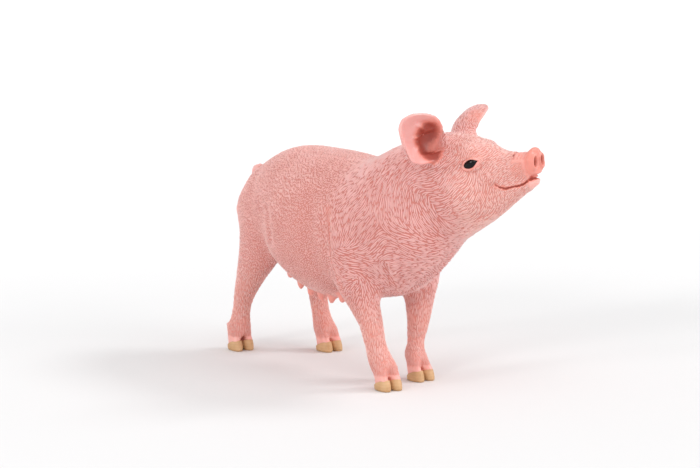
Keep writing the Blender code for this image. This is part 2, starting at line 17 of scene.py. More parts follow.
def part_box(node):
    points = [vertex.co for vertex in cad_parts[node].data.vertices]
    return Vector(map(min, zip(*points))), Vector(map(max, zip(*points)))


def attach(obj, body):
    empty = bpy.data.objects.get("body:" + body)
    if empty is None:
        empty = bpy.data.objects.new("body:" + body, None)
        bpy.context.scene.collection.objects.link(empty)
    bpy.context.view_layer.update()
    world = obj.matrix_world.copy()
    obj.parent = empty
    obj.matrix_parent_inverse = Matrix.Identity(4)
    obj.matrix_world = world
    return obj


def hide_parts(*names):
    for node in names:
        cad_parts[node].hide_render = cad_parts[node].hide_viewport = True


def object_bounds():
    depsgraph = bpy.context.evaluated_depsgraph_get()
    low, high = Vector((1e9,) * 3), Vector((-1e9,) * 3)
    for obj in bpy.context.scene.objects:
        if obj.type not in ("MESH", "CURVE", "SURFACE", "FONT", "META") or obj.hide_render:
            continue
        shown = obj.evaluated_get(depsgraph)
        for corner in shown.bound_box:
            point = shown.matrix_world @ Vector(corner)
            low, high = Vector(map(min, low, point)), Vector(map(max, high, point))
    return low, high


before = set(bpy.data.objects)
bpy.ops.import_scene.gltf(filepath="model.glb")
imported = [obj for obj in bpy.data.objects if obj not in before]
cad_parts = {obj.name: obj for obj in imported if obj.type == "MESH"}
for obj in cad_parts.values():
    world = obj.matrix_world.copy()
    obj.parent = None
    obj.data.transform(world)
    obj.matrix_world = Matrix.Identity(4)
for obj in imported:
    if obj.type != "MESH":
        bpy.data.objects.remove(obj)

CAD_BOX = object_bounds()
MM = 0.001
UP = np.array([0.0, 0.0, 1.0])

FLESH = [
    "trunk", "neck", "head", "snout", "lower_jaw", "ear_left", "ear_right", "tail",
    "foreleg_left", "foreleg_right", "hindleg_left", "hindleg_right",
]
SIDES = {"right": -1, "left": 1}
FEET = {"front_right": -3, "front_left": 3, "hind_right": -4, "hind_left": 4}

# The skin: spacing of its grid, how far each solid swells to close the cuts, and how far the skin
# lies inside the solids where hair covers it and where it is bare. Then its number of triangles, how
# close two vertices are to be one, and how many rounds smooth it, all over and round the eyes. The
# last two are the rounds that find its hollows and that soften the edge of the bare places.
GRID = 0.3
BRIDGE = 0.3
COAT_DEPTH = 0.22
BARE_DEPTH = 0.04
SKIN_TRIANGLES = 192000
WELD = 0.01
SKIN_ROUNDS = 34
EYE_ROUNDS = 30
HOLLOW_ROUNDS = 26
BARE_ROUNDS = 40

# The snout's disc from where the toy's own axes start, and the teats along them: how many a row, the
# hindmost one, their spacing, how far out they sit, their radii, how far their middles lie below the
# udder's line, and that line's height at places along it.
SNOUT = Vector((59.25, 18.0, 59.83))
TEATS_A_ROW = 6
FIRST_TEAT = -15.5
TEAT_SPACING = 4.9
TEAT_OUT = 6.4
TEAT_RADII = (1.5, 1.5, 1.9)
TEAT_DROP = 0.7
UDDER_PLACES = [-19, -8, 3, 13]
UDDER_HEIGHTS = [25.4, 21.4, 20.4, 21.8]

# The head's own axes start at the snout's disc: these say where its eyes lie from there.
HEAD_PITCH = math.radians(6)
EYE_BACK = 15.0
EYE_UP = 0.85

# The eyeball reaches under the lids, which leave an almond open. Lengths are forward, outward, upward.
EYE_SLANT = math.radians(19)
BALL_OUT = 6.7
BALL_RADII = (2.4, 1.0, 1.3)
LID_LENGTH = 2.05
LID_HEIGHT = 1.05

# How each ear is held, in degrees: raised, swept back, and turned about its own length; then how far
# its root sits ahead. The rest is for an ear held level: its root and length, the middle of its blade,
# and the way its hollow faces.
EAR_POSE = {"right": (3.5, 0, 0, 0), "left": (1.5, 12.5, 26, 1.4)}
EAR_ROOT = Vector((-24, 8, 7))
EAR_LENGTH = Vector((-1.4, 16.3, 5.0))
EAR_MIDDLE = (25, 15.5, 8)
HOLLOW_WAY = (1.0, 0.25, 0.05)

# A nostril's place on the disc and its half breadth and half height.
NOSTRIL_OUT = 2.0
NOSTRIL_UP = 0.1
NOSTRIL_HALVES = (0.95, 1.2)

# Mouth and wrinkles, as the head's side view shows them: distance behind the disc, and height. That
# view takes the first and the last of a place's three lengths.
SIDE_ON = [0, 2]
MOUTH = [
    (-1.5, -3.9), (1.2, -4.2), (2.0, -4.35), (3.0, -5.1), (4.2, -5.6),
    (5.6, -5.7), (6.8, -5.9), (7.8, -6.1), (9.0, -5.75), (10.3, -5.0),
]
MOUTH_WEDGE = [(-1.5, -3.2), (0.5, -3.5), (2.2, -4.4)]
WRINKLES = [
    [(6.0, 3.2), (5.4, 1.8), (4.9, 0.8)],
    [(4.4, 3.2), (4.2, 1.8), (4.2, 0.8)],
    [(2.9, 3.2), (3.2, 1.8), (3.6, 0.7)],
    [(1.7, 3.1), (2.1, 1.8), (2.7, 0.9)],
]


# --- places ---


def head_matrix():
    """From the head's axes (ahead, left, up, from the snout's disc) to the frame's, in millimetres."""
    eyes = {side: sum(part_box("eye_" + side), Vector()) / 2 / MM for side in SIDES}
    left = (eyes["left"] - eyes["right"]).normalized()
    flat = Vector((left.y, -left.x, 0)).normalized()
    ahead = flat * math.cos(HEAD_PITCH) + Vector((0, 0, math.sin(HEAD_PITCH)))
    up = ahead.cross(left)
    middle = (eyes["left"] + eyes["right"]) / 2
    origin = middle + ahead * EYE_BACK - up * EYE_UP
    turned = Matrix((ahead, left, up)).transposed().to_4x4()
    return Matrix.Translation(origin) @ turned


HEAD = head_matrix()
HEAD_ROWS = np.array(HEAD.inverted())
AHEAD, LEFT, HEAD_UP = (np.array(HEAD.col[i][:3]) for i in range(3))
START = HEAD.translation - SNOUT
MIDDLE_PLANE = START.y


def to_head(points):
    """Points as (behind the disc, to the left, up)."""
    local = points @ HEAD_ROWS[:3, :3].T + HEAD_ROWS[:3, 3]
    return local * (-1, 1, 1)


def from_head(back, left, up):
    return np.array(HEAD @ Vector((-back, left, up)))


def ear_turn(side_name):
    """Holds one ear as EAR_POSE says, about its root on the head."""
    side = SIDES[side_name]
    raised, swept, rolled, ahead = EAR_POSE[side_name]
    mirror = Vector((1, side, 1))
    root, length = EAR_ROOT * mirror, EAR_LENGTH * mirror
    lift = Matrix.Rotation(side * math.radians(raised), 4, "X")
    sweep = Matrix.Rotation(side * math.radians(swept), 4, "Z")
    roll = Matrix.Rotation(side * math.radians(rolled), 4, length.normalized())
    moved = root + Vector((ahead, 0, 0))
    return Matrix.Translation(moved) @ lift @ sweep @ roll @ Matrix.Translation(-root)


def ear_point(side_name, back, out, up):
    """A place on an ear, given for an ear held level and out to its own side."""
    place = HEAD @ ear_turn(side_name) @ Vector((-back, SIDES[side_name] * out, up))
    return np.array(place)


def ear_places(points, side_name):
    """Points as (back, out, up) of an ear held level and out to its own side."""
    rows = np.array((HEAD @ ear_turn(side_name)).inverted())
    return (points @ rows[:3, :3].T + rows[:3, 3]) * (-1, SIDES[side_name], 1)


def ear_direction(side_name, ahead, out, up):
    turn = (HEAD @ ear_turn(side_name)).to_3x3()
    return np.array(turn @ Vector((ahead, SIDES[side_name] * out, up)).normalized())


def eye_axes(side):
    """Forward along the eye, outward from the head, and over the eye, with the ball's middle."""
    c, s = math.cos(EYE_SLANT), math.sin(EYE_SLANT)
    forward = AHEAD * c + HEAD_UP * s
    over = HEAD_UP * c - AHEAD * s
    return np.array([forward, LEFT * side, over]), from_head(EYE_BACK, side * BALL_OUT, EYE_UP)


# --- numbers ---


def ramp(value, start, end):
    """0 before start, 1 after end, smooth between. A start above the end turns it round."""
    t = np.clip((value - start) / (end - start), 0, 1)
    return t * t * (3 - 2 * t)


def bell(distance, width):
    return np.exp(-((distance / width) ** 2))


def distance(points, place):
    return np.linalg.norm(points - place, axis=1)


def unit(rows):
    return rows / np.maximum(np.linalg.norm(rows, axis=-1, keepdims=True), 1e-9)


def nearest_on_path(points, path):
    """Distance from a path, how far along it the nearest place lies (0 to 1), and that place."""
    path = np.asarray(path, float)
    reach = np.concatenate([[0], np.cumsum(np.linalg.norm(np.diff(path, axis=0), axis=1))])
    best = np.full(len(points), np.inf)
    along = np.zeros(len(points))
    place = np.zeros_like(points)
    for i, (a, b) in enumerate(zip(path, path[1:])):
        span = b - a
        t = np.clip((points - a) @ span / (span @ span), 0, 1)
        there = a + t[:, None] * span
        away = distance(points, there)
        nearer = away < best
        best[nearer] = away[nearer]
        along[nearer] = (reach[i] + t * (reach[i + 1] - reach[i]))[nearer] / reach[-1]
        place[nearer] = there[nearer]
    return best, along, place


def path_distance(points, path):
    return nearest_on_path(points, path)[0]


def waves(points, length, seed, count=10):
    """Smooth random values of about -1 to 1 over space, with features of about this length."""
    random = np.random.default_rng(seed)
    total = np.zeros(len(points))
    for _ in range(count):
        way = unit(random.normal(size=3)) * random.uniform(0.7, 1.5) * 2 * math.pi / length
        total += np.sin(points @ way + random.uniform(0, 2 * math.pi))
    return total / math.sqrt(count)


# --- meshes ---


def read_rows(items, key, width, kind=float):
    """A row of this many values from each vertex, edge, face or corner."""
    values = np.empty(len(items) * width, kind)
    items.foreach_get(key, values)
    return values.reshape(-1, width)


def get_points(mesh):
    return read_rows(mesh.vertices, "co", 3) / MM


def set_points(mesh, points):
    mesh.vertices.foreach_set("co", (points * MM).ravel())
    mesh.update()


def get_normals(mesh):
    return read_rows(mesh.vertices, "normal", 3)


def get_edges(mesh):
    return read_rows(mesh.edges, "vertices", 2, np.int64)


def get_corners(mesh):
    return read_rows(mesh.loops, "vertex_index", 1, np.int64)[:, 0]


def set_values(mesh, name, values):
    mesh.attributes.new(name, "FLOAT", "POINT").data.foreach_set("value", values.astype(np.float32))


def new_object(name, data):
    made = bpy.data.objects.new(name, data)
    bpy.context.scene.collection.objects.link(made)
    return made


def apply_modifiers(item):
    bpy.context.view_layer.update()
    graph = bpy.context.evaluated_depsgraph_get()
    mesh = bpy.data.meshes.new_from_object(item.evaluated_get(graph))
    item.modifiers.clear()
    old = item.data
    item.data = mesh
    bpy.data.meshes.remove(old)


def finish_piece(item, paint, replaced=()):
    """Gives a finished piece its material and smooth normals, hangs it on the root body, and hides the
    solids it replaces.
    """
    item.data.materials.clear()
    item.data.materials.append(paint)
    item.data.shade_smooth()
    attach(item, "root")
    if replaced:
        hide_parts(*replaced)


def relax(points, edges, rounds, weights):
    """Draws each point towards the middle of its neighbours, by a weight at each point."""
    count = len(points)
    a, b = edges[:, 0], edges[:, 1]
    valence = np.bincount(a, minlength=count) + np.bincount(b, minlength=count)
    for _ in range(rounds):
        moved = np.empty_like(points)
        for axis in range(3):
            column = points[:, axis]
            total = np.bincount(a, column[b], count) + np.bincount(b, column[a], count)
            moved[:, axis] = total / valence
        points = points + (moved - points) * (0.5 * weights)[:, None]
    return points


def split_faces(mesh, chosen):
    """Cuts each chosen face in four."""
    bm = bmesh.new()
    bm.from_mesh(mesh)
    bm.faces.ensure_lookup_table()
    edges = dict.fromkeys(edge for i in chosen for edge in bm.faces[i].edges)
    bmesh.ops.subdivide_edges(bm, edges=list(edges), cuts=1, use_grid_fill=True)
    bm.to_mesh(mesh)
    bm.free()


def face_middles(mesh):
    return read_rows(mesh.polygons, "center", 3) / MM


# --- the skin's plain shape ---


def joined_solids():
    """The solids of flesh, swollen to meet each other, with the teats and the toes within the hooves."""
    bm = bmesh.new()
    for name in FLESH:
        bm.from_mesh(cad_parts[name].data)
    bmesh.ops.remove_doubles(bm, verts=bm.verts, dist=WELD * MM)
    bm.normal_update()
    for vertex in bm.verts:
        vertex.co += vertex.normal * BRIDGE * MM
    for name in hoof_names():
        bm.from_mesh(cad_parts[name].data)
    bmesh.ops.remove_doubles(bm, verts=bm.verts, dist=WELD * MM)
    add_teats(bm)
    # The hooves' tops rise into the legs, so that the grid joins them.
    hoof_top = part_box("hoof_front_left_inner")[1].z
    for vertex in bm.verts:
        if abs(vertex.co.z - hoof_top) < 0.05 * MM:
            vertex.co.z += 3 * BRIDGE * MM
    mesh = bpy.data.meshes.new("skin")
    bm.to_mesh(mesh)
    bm.free()
    return mesh


def hoof_names():
    return [f"hoof_{foot}_{which}" for foot in FEET for which in ("inner", "outer")]


def inside_box(points):
    """Points held within the solids' box, by a margin that rounding can't cross."""
    low, high = (np.array(corner) / MM for corner in CAD_BOX)
    return np.clip(points, low + 0.001, high - 0.001)


def ear_nearness(points):
    """1 on the ears, fading to 0 on the head around them."""
    near = np.zeros(len(points))
    for name in SIDES:
        middle = ear_point(name, *EAR_MIDDLE)
        near = np.maximum(near, ramp(distance(points, middle), 12.0, 9.0))
    return near


def ear_inside(points, normals):
    """1 where an ear's surface faces out of its hollow, with its rim."""
    inside = np.zeros(len(points))
    for name in SIDES:
        level = (ear_places(points, name) - (24.5, 15.2, 7.8)) / (6.0, 8.8, 8.2)
        near = ramp(np.linalg.norm(level, axis=1), 1.12, 1.0)
        facing = ramp(normals @ ear_direction(name, *HOLLOW_WAY), -0.15, 0.2)
        inside = np.maximum(inside, near * facing)
    return inside


def eye_nearness(points, reach):
    near = np.zeros(len(points))
    for side in SIDES.values():
        middle = from_head(EYE_BACK, side * BALL_OUT, EYE_UP)
        near = np.maximum(near, ramp(distance(points, middle), reach, reach * 0.7))
    return near


def disc_nearness(points):
    """1 on the snout's disc, fading to 0 just behind it."""
    return ramp(to_head(points)[:, 0], 2.2, 1.0) * ramp(to_head(points)[:, 2], -4.8, -3.8)


def teat_nearness(points):
    """1 on the teats, fading to 0 on the belly around them."""
    along = (points[:, 0] - START.x - FIRST_TEAT) / TEAT_SPACING
    nearest = np.clip(np.round(along), 0, TEATS_A_ROW - 1)
    away = np.hypot((along - nearest) * TEAT_SPACING, np.abs(points[:, 1] - MIDDLE_PLANE) - TEAT_OUT)
    return ramp(away, 1.9, 1.2) * ramp(points[:, 2], 25.0, 24.0) * ramp(points[:, 2], 16.5, 17.5)


def add_teats(bm):
    """Rounder teats over the solids' own, in two rows along the udder."""
    for side in SIDES.values():
        for k in range(TEATS_A_ROW):
            x = FIRST_TEAT + TEAT_SPACING * k
            udder = float(np.interp(x, UDDER_PLACES, UDDER_HEIGHTS))
            place = Matrix.Translation((START + Vector((x, side * TEAT_OUT, udder - TEAT_DROP))) * MM)
            size = Matrix.Diagonal((*(Vector(TEAT_RADII) * MM), 1))
            bmesh.ops.create_uvsphere(bm, u_segments=16, v_segments=10, radius=1, matrix=place @ size)


def plain_skin():
    skin = new_object("skin", joined_solids())
    grid = skin.modifiers.new("grid", "REMESH")
    grid.mode = "VOXEL"
    grid.voxel_size = GRID * MM
    apply_modifiers(skin)
    mesh = skin.data
    points, normals = get_points(mesh), get_normals(mesh)
    bare = np.maximum(ear_nearness(points), disc_nearness(points))
    swollen = BRIDGE * ramp(points[:, 2], 3.0, 3.7)
    depth = swollen + COAT_DEPTH + (BARE_DEPTH - COAT_DEPTH) * bare
    points -= normals * depth[:, None]
    feet = ramp(points[:, 2], 4.5, 3.0)
    teats = 1.1 * teat_nearness(points)
    tail = ramp(points[:, 0], -44.5, -46.0) * ramp(points[:, 2], 31.0, 32.0)
    firm = np.maximum.reduce([ear_nearness(points), disc_nearness(points) * 0.8, feet, teats, tail])
    weights = 1 - 0.85 * firm
    points = relax(points, get_edges(mesh), SKIN_ROUNDS, weights)
    points = relax(points, get_edges(mesh), EYE_ROUNDS, eye_nearness(points, 4.5))
    set_points(mesh, points)
    refine_face(mesh)
    return skin


def refine_face(mesh):
    """Smaller faces where the face is modelled finely, and the smallest round the eyes."""
    middles = face_middles(mesh)
    head = to_head(middles)
    muzzle = (head[:, 0] < 12) & (np.abs(head[:, 1]) < 8) & (head[:, 2] > -9)
    hollows = np.zeros(len(middles), bool)
    for name in SIDES:
        hollows |= distance(middles, ear_point(name, 25.5, 10.5, 7.5)) < 6
    split_faces(mesh, np.nonzero(muzzle | hollows | (eye_nearness(middles, 5.2) > 0))[0])
    split_faces(mesh, np.nonzero(eye_nearness(face_middles(mesh), 4.2) > 0)[0])
    points = get_points(mesh)
    points = relax(points, get_edges(mesh), 3, np.maximum(eye_nearness(points, 5), 0.3))
    set_points(mesh, points)


# --- modelling the skin ---


def press_line(mesh, path, width, height, facing=None):
    """Raises the skin along a line of places, or presses it in, fading at the line's ends."""
    points, normals = get_points(mesh), get_normals(mesh)
    away, along, _ = nearest_on_path(points, path)
    moved = height * bell(away, width) * ramp(np.minimum(along, 1 - along), -0.02, 0.22)
    if facing is not None:
        moved *= ramp(normals @ facing, 0.0, 0.3)
    set_points(mesh, points + normals * moved[:, None])


def press_sheet(points, normals, head, path, width, height, fade=0.15):
    """Moves the skin where a curved sheet, seen edge on from the head's side, passes through it."""
    away, along, _ = nearest_on_path(head[:, SIDE_ON], path)
    moved = height * bell(away, width) * ramp(1 - along, 0.0, fade)
    return points + normals * moved[:, None]


def pull(points, middle, radius, offset):
    near = ramp(distance(points, middle), radius, 0.15 * radius)
    return points + near[:, None] * offset


def lid_line(grow=0.0, start=0.0, end=1.0, count=60):
    """The almond that the lids leave open, in forward and upward lengths from the eye's middle."""
    turns = np.linspace(start, end, count) * 2 * math.pi
    forward, upward = np.cos(turns), np.sin(turns)
    pointed = np.sign(upward) * np.maximum(1 - np.abs(forward) ** 1.7, 0) ** 0.95
    over = np.where(forward > 0, pointed, np.sign(upward) * np.sqrt(1 - forward**2))
    return np.stack([forward * (LID_LENGTH + grow), over * (LID_HEIGHT + grow)], axis=1)


def model_eye(mesh, side):
    """Lids around an almond opening, a fold above them and creases at the corners."""
    points = get_points(mesh)
    axes, middle = eye_axes(side)
    near = np.nonzero(distance(points, middle) < 6)[0]
    local = (points[near] - middle) @ axes.T
    flat = local[:, SIDE_ON]
    away, _, place = nearest_on_path(flat, lid_line())
    almond = lid_line(count=400)
    upper = np.interp(flat[:, 0], almond[200::-1, 0], almond[200::-1, 1], left=0, right=0)
    inside = (np.abs(flat[:, 1]) < upper) & (np.abs(flat[:, 0]) < LID_LENGTH)
    away = np.where(inside, -away, away)
    long, deep, high = BALL_RADII

    def ball(spot):
        under = 1 - (spot[:, 0] / long) ** 2 - (spot[:, 1] / high) ** 2
        return deep * np.sqrt(np.maximum(under, 0))

    lid = ball(place) + 0.1 + 0.14 * ramp(away, 0.0, 0.25) - 0.1 * ramp(away, 0.5, 1.2)
    hold = ramp(away, 1.3, 0.35)
    out = local[:, 1] * (1 - hold) + lid * hold
    sunk = ball(flat) - 0.35
    out = np.where(inside, lid + (sunk - lid) * ramp(away, 0.02, -0.12), out)
    above = path_distance(flat, lid_line(0.62, -0.03, 0.47))
    fold = path_distance(flat, lid_line(1.1, -0.02, 0.45))
    below = path_distance(flat, lid_line(0.75, 0.55, 0.93))
    corner = path_distance(flat, [(2.1, -0.1), (3.0, -0.25), (4.2, -0.9)])
    rear = path_distance(flat, [(-2.2, -0.1), (-3.2, -0.5)])
    out += -0.26 * bell(above, 0.19) + 0.16 * bell(fold, 0.35) - 0.08 * bell(below, 0.2)
    out -= 0.16 * bell(corner, 0.22) + 0.1 * bell(rear, 0.2)
    local[:, 1] = out
    points[near] = local @ axes + middle
    set_points(mesh, points)


def model_mouth(mesh):
    """The smiling line of the mouth, its opening under the disc, and the lower lip."""
    points = get_points(mesh)
    points = pull(points, from_head(1.0, 0, -5.2), 2.6, AHEAD * 0.5 + HEAD_UP * 0.4)
    points = pull(points, from_head(1.4, 0, -3.5), 2.0, AHEAD * 0.7)
    for side in SIDES.values():
        points = pull(points, from_head(9.6, side * 4.6, -4.2), 2.4, LEFT * side * 0.35)
    set_points(mesh, points)
    normals, head = get_normals(mesh), to_head(points)
    front = ramp(head[:, 0], 4.5, 1.5)[:, None]
    points = press_sheet(points, normals, head, MOUTH_WEDGE, 0.3, -0.8, 0.3)
    points = press_sheet(points, normals, head, MOUTH, 0.2, -0.6)
    corner = distance(head[:, SIDE_ON], MOUTH[-1])
    points -= normals * (0.6 * bell(corner, 0.8) * ramp(head[:, 0], 14, 12))[:, None]
    opening = bell(path_distance(head[:, SIDE_ON], MOUTH[:3]), 0.28)
    points -= normals * opening[:, None] * 0.4 * front
    upper_lip = [(back, up + 0.55) for back, up in MOUTH[2:]]
    lower_lip = [(back, up - 0.5) for back, up in MOUTH]
    points = press_sheet(points, normals, head, upper_lip, 0.32, 0.16, 0.2)
    points = press_sheet(points, normals, head, lower_lip, 0.3, 0.12, 0.3)
    set_points(mesh, points)


def model_snout(mesh):
    """Nostrils with raised rims on the disc, and wrinkles behind it."""
    points, normals = get_points(mesh), get_normals(mesh)
    head = to_head(points)
    on_disc = ramp(head[:, 0], 2.4, 1.4)
    for side in SIDES.values():
        across, over = head[:, 1] * side - NOSTRIL_OUT, head[:, 2] - NOSTRIL_UP
        lean = math.radians(12)
        a = across * math.cos(lean) + over * math.sin(lean)
        b = over * math.cos(lean) - across * math.sin(lean)
        q = np.sqrt((a / NOSTRIL_HALVES[0]) ** 2 + (b / NOSTRIL_HALVES[1]) ** 2)
        rim = 0.34 * bell(q - 1.42, 0.3) - 0.14 * bell(q - 2.1, 0.35)
        hole = -2.2 * ramp(q, 1.15, 0.45)
        points += AHEAD * ((rim + hole) * on_disc)[:, None]
    behind_disc = path_distance(head[:, SIDE_ON], [(1.7, 4.0), (2.4, 2.0), (2.3, -2.5)])
    points -= normals * (0.32 * bell(behind_disc, 0.5))[:, None]
    for path in WRINKLES:
        crest = [(back + 0.5, up) for back, up in path]
        points = press_sheet(points, normals, head, path, 0.2, -0.3, 0.3)
        points = press_sheet(points, normals, head, crest, 0.25, 0.12, 0.3)
    set_points(mesh, points)


def model_ear(mesh, name):
    """The canal, the folds of the hollow and the roll of its rim."""
    opening = ear_direction(name, *HOLLOW_WAY)

    def line(path, width, height):
        press_line(mesh, [ear_point(name, *place) for place in path], width, height, opening)

    line([(25.6, 9.4, 9.4), (25.8, 8.7, 7.8), (25.4, 8.1, 6.2), (24.9, 8.1, 3.8)], 2.8, -1.0)
    line([(25.2, 17.5, 12.2), (24.6, 13.5, 12.0), (24.2, 9.5, 10.8), (24.0, 7.0, 8.6)], 0.9, -0.45)
    line([(25.1, 15.6, 11.6), (25.4, 12.6, 11.0), (25.6, 9.6, 9.6)], 0.5, 0.42)
    line([(27.2, 14.6, 7.8), (27.2, 13.4, 8.4), (26.9, 11.1, 8.4), (26.8, 9.0, 7.0)], 0.5, 0.45)
    line([(27.0, 9.6, 6.3), (27.0, 11.6, 5.8), (27.0, 13.6, 4.8)], 0.7, 0.5)
    line([(27.0, 10.4, 7.4), (27.0, 12.6, 6.9)], 0.45, -0.3)


# Places that the solids leave too full or too lean: place, reach and how far its middle moves.
MASSES = [
    ((-48.5, -3.98, 49.2), 2.6, (0.4, 0, -0.3)),
    ((-39.5, -12.5, 46.5), 7, (0.5, 0.5, -0.4)),
    ((17, -1, 59.5), 8, (0, 0, 0.6)),
    ((19.5, 12, 30.5), 6, (-0.3, -0.9, 0.2)),
    ((25.5, 7.5, 29.5), 6, (-0.6, -0.8, 0.3)),
    ((17.5, -13, 10), 8, (-0.4, -0.6, 0)),
    ((19, 6, 8), 6, (-0.4, -0.5, 0)),
    ((-19.5, 5.5, 25), 7, (0, 0, 0.9)),
    ((-19.5, -13.5, 25), 7, (0, 0, 0.9)),
]


def model_masses(mesh):
    """Fuller and leaner places that the solids leave plain."""
    points = get_points(mesh)
    for place, reach, offset in MASSES:
        points = pull(points, place, reach, np.array(offset))
    points = pull(points, ear_point("left", 24.8, 23.5, 12), 7, np.array([-0.6, -0.9, -0.9]))
    set_points(mesh, points)


# Folds and swellings of one side, as places (forward, out from the middle plane, up), with the
# breadth and height of each. The other side mirrors them.
SHOULDER_CREASE = [
    (7.7, 15, 45), (9.2, 15.7, 40.6), (10.1, 16, 35.3), (10.5, 15.7, 30.9),
    (12.3, 15.3, 28.8), (13.3, 14.8, 26.1),
]
FOLDS = [
    (SHOULDER_CREASE, 0.6, -0.85),
    ([(x - 1.8, out, up) for x, out, up in SHOULDER_CREASE], 1.9, -0.55),
    ([(x + 2.4, out, up) for x, out, up in SHOULDER_CREASE], 2.4, 0.25),
    ([(26, 10, 33.8), (25, 8.3, 30.2), (23.5, 6.4, 27.5)], 0.8, -0.6),
    ([(29.3, 8, 35.1), (28.5, 6.8, 32.1), (25.5, 5.3, 28.2), (23.2, 5.2, 26.3)], 0.8, -0.4),
    ([(27.5, 8.8, 34), (26.4, 7.8, 31.4), (24.6, 6.2, 28.2)], 1.3, 0.2),
    ([(-20.9, 15.4, 44.1), (-18.4, 16.4, 40.5), (-16.8, 16.8, 36.3), (-16.9, 15.8, 31.4)], 1.5, -0.45),
    ([(18.4, 8.5, 55.0), (20.2, 9.5, 52.8), (21.0, 9.9, 51.0)], 0.5, -0.3),
]


def model_folds(mesh):
    """Creases of the shoulder, the armpit, the thigh and the nape."""
    points = get_points(mesh)
    for side in SIDES.values():
        for path, width, height in FOLDS:
            there = np.array([(x, MIDDLE_PLANE + side * out, z) for x, out, z in path])
            on_skin = [points[((points - place) ** 2).sum(axis=1).argmin()] for place in there]
            press_line(mesh, on_skin, width, height)


def split_toes(mesh):
    """The cleft between the two toes of each foot, up to the pastern."""
    points, normals = get_points(mesh), get_normals(mesh)
    for foot in FEET:
        middle, ahead, across = foot_axes(foot)
        local = points - middle
        along, aside = local @ ahead, local @ across
        low = (np.linalg.norm(local[:, :2], axis=1) < 6) & (points[:, 2] < 9)
        cleft = bell(aside, 0.3) * ramp(points[:, 2], 5.6, 4.2) * ramp(along, -1.5, 0.5)
        heel = bell(aside, 0.35) * ramp(points[:, 2], 5.5, 4.0) * ramp(along, -1.0, -2.0)
        points -= normals * (low * (0.12 * cleft + 0.3 * heel))[:, None]
        above = bell(along + 3.6, 1.2) * bell(aside, 3.2) * bell(points[:, 2] - 4.4, 0.5)
        points -= normals * (low * 0.12 * above)[:, None]
        heel_in = low * ramp(along, -1.2, -3.4) * ramp(points[:, 2], 5.5, 1.0)
        points += (0.9 * heel_in)[:, None] * ahead
    set_points(mesh, points)


def foot_axes(foot):
    """The middle of a foot on the floor, with its own ahead and across directions."""
    boxes = [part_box(f"hoof_{foot}_{which}") for which in ("inner", "outer")]
    middle = sum((low + high for low, high in boxes), Vector()) / 4 / MM
    turned = math.radians(FEET[foot])
    ahead = np.array([math.cos(turned), math.sin(turned), 0.0])
    across = np.array([-math.sin(turned), math.cos(turned), 0.0])
    return np.array([middle.x, middle.y, 0.0]), ahead, across


def make_skin():
    skin = plain_skin()
    mesh = skin.data
    model_masses(mesh)
    model_folds(mesh)
    split_toes(mesh)
    model_mouth(mesh)
    model_snout(mesh)
    for name, side in SIDES.items():
        model_ear(mesh, name)
        model_eye(mesh, side)
    set_points(mesh, inside_box(get_points(mesh)))
    surface = {"points": get_points(mesh), "normals": get_normals(mesh), "edges": get_edges(mesh)}
    fewer = skin.modifiers.new("fewer", "DECIMATE")
    fewer.ratio = SKIN_TRIANGLES / (2 * len(mesh.polygons))
    apply_modifiers(skin)
    return skin, surface


# --- eyes and hooves ---


def closed_lathe(name, rings, low_pole, high_pole):
    """A closed form from rings of places, one above the other, with a pole at each end."""
    bm = bmesh.new()
    loops = [[bm.verts.new(Vector(place) * MM) for place in ring] for ring in rings]
    for lower, upper in zip(loops, loops[1:]):
        for i, corner in enumerate(lower):
            after = (i + 1) % len(lower)
            bm.faces.new((corner, lower[after], upper[after], upper[i]))
    for pole, ring in ((low_pole, loops[0]), (high_pole, loops[-1])):
        tip = bm.verts.new(Vector(pole) * MM)
        for i, corner in enumerate(ring):
            bm.faces.new((tip, corner, ring[(i + 1) % len(ring)]))
    bmesh.ops.recalc_face_normals(bm, faces=bm.faces)
    mesh = bpy.data.meshes.new(name)
    bm.to_mesh(mesh)
    bm.free()
    return new_object(name, mesh)


def make_eye(name, side, paint):
    """The glossy ball that shows between the lids."""
    axes, middle = eye_axes(side)
    turns = np.linspace(0, 2 * math.pi, 40, endpoint=False)
    rings = []
    for lift in np.linspace(-0.5, 0.5, 25)[1:-1] * math.pi:
        flat = np.stack([np.cos(turns), np.full(40, math.tan(lift)), np.sin(turns)], axis=1)
        rings.append(middle + (unit(flat) * BALL_RADII) @ axes)
    poles = [middle + np.array([0, end * BALL_RADII[1], 0]) @ axes for end in (-1, 1)]
    ball = closed_lathe("eyeball_" + name, rings, *poles)
    finish_piece(ball, paint, ["eye_" + name])


# One toe of a hoof by height: how far its middle lies ahead, half its length and half its width. Then
# how far a toe lies from the middle of its foot.
TOE_HEIGHTS = (0.0, 1.4, 3.2, 4.2)
TOE_AHEAD = (0.35, 0.2, -0.25, -0.5)
TOE_LENGTH = (3.25, 3.15, 2.8, 2.6)
TOE_WIDTH = (1.62, 1.66, 1.55, 1.4)
TOE_SPREAD = 1.68


def toe_ring(heights, inset, foot, side):
    """A ring round one toe, at these heights, drawn in by the inset."""
    middle, ahead, across = foot_axes(foot)
    turns = np.linspace(0, 2 * math.pi, len(heights), endpoint=False)

    def round_off(wave):
        return np.sign(wave) * np.abs(wave) ** 0.94

    length = np.interp(heights, TOE_HEIGHTS, TOE_LENGTH) - inset
    width = np.interp(heights, TOE_HEIGHTS, TOE_WIDTH) - inset
    forward = np.interp(heights, TOE_HEIGHTS, TOE_AHEAD) - 0.15 + length * round_off(np.cos(turns))
    outward = side * TOE_SPREAD + width * round_off(np.sin(turns))
    forward += 0.9 * ramp(forward, -1.2, -3.4) * ramp(heights, 5.5, 1.0)
    places = middle + forward[:, None] * ahead + outward[:, None] * across
    places[:, 2] = heights
    return places


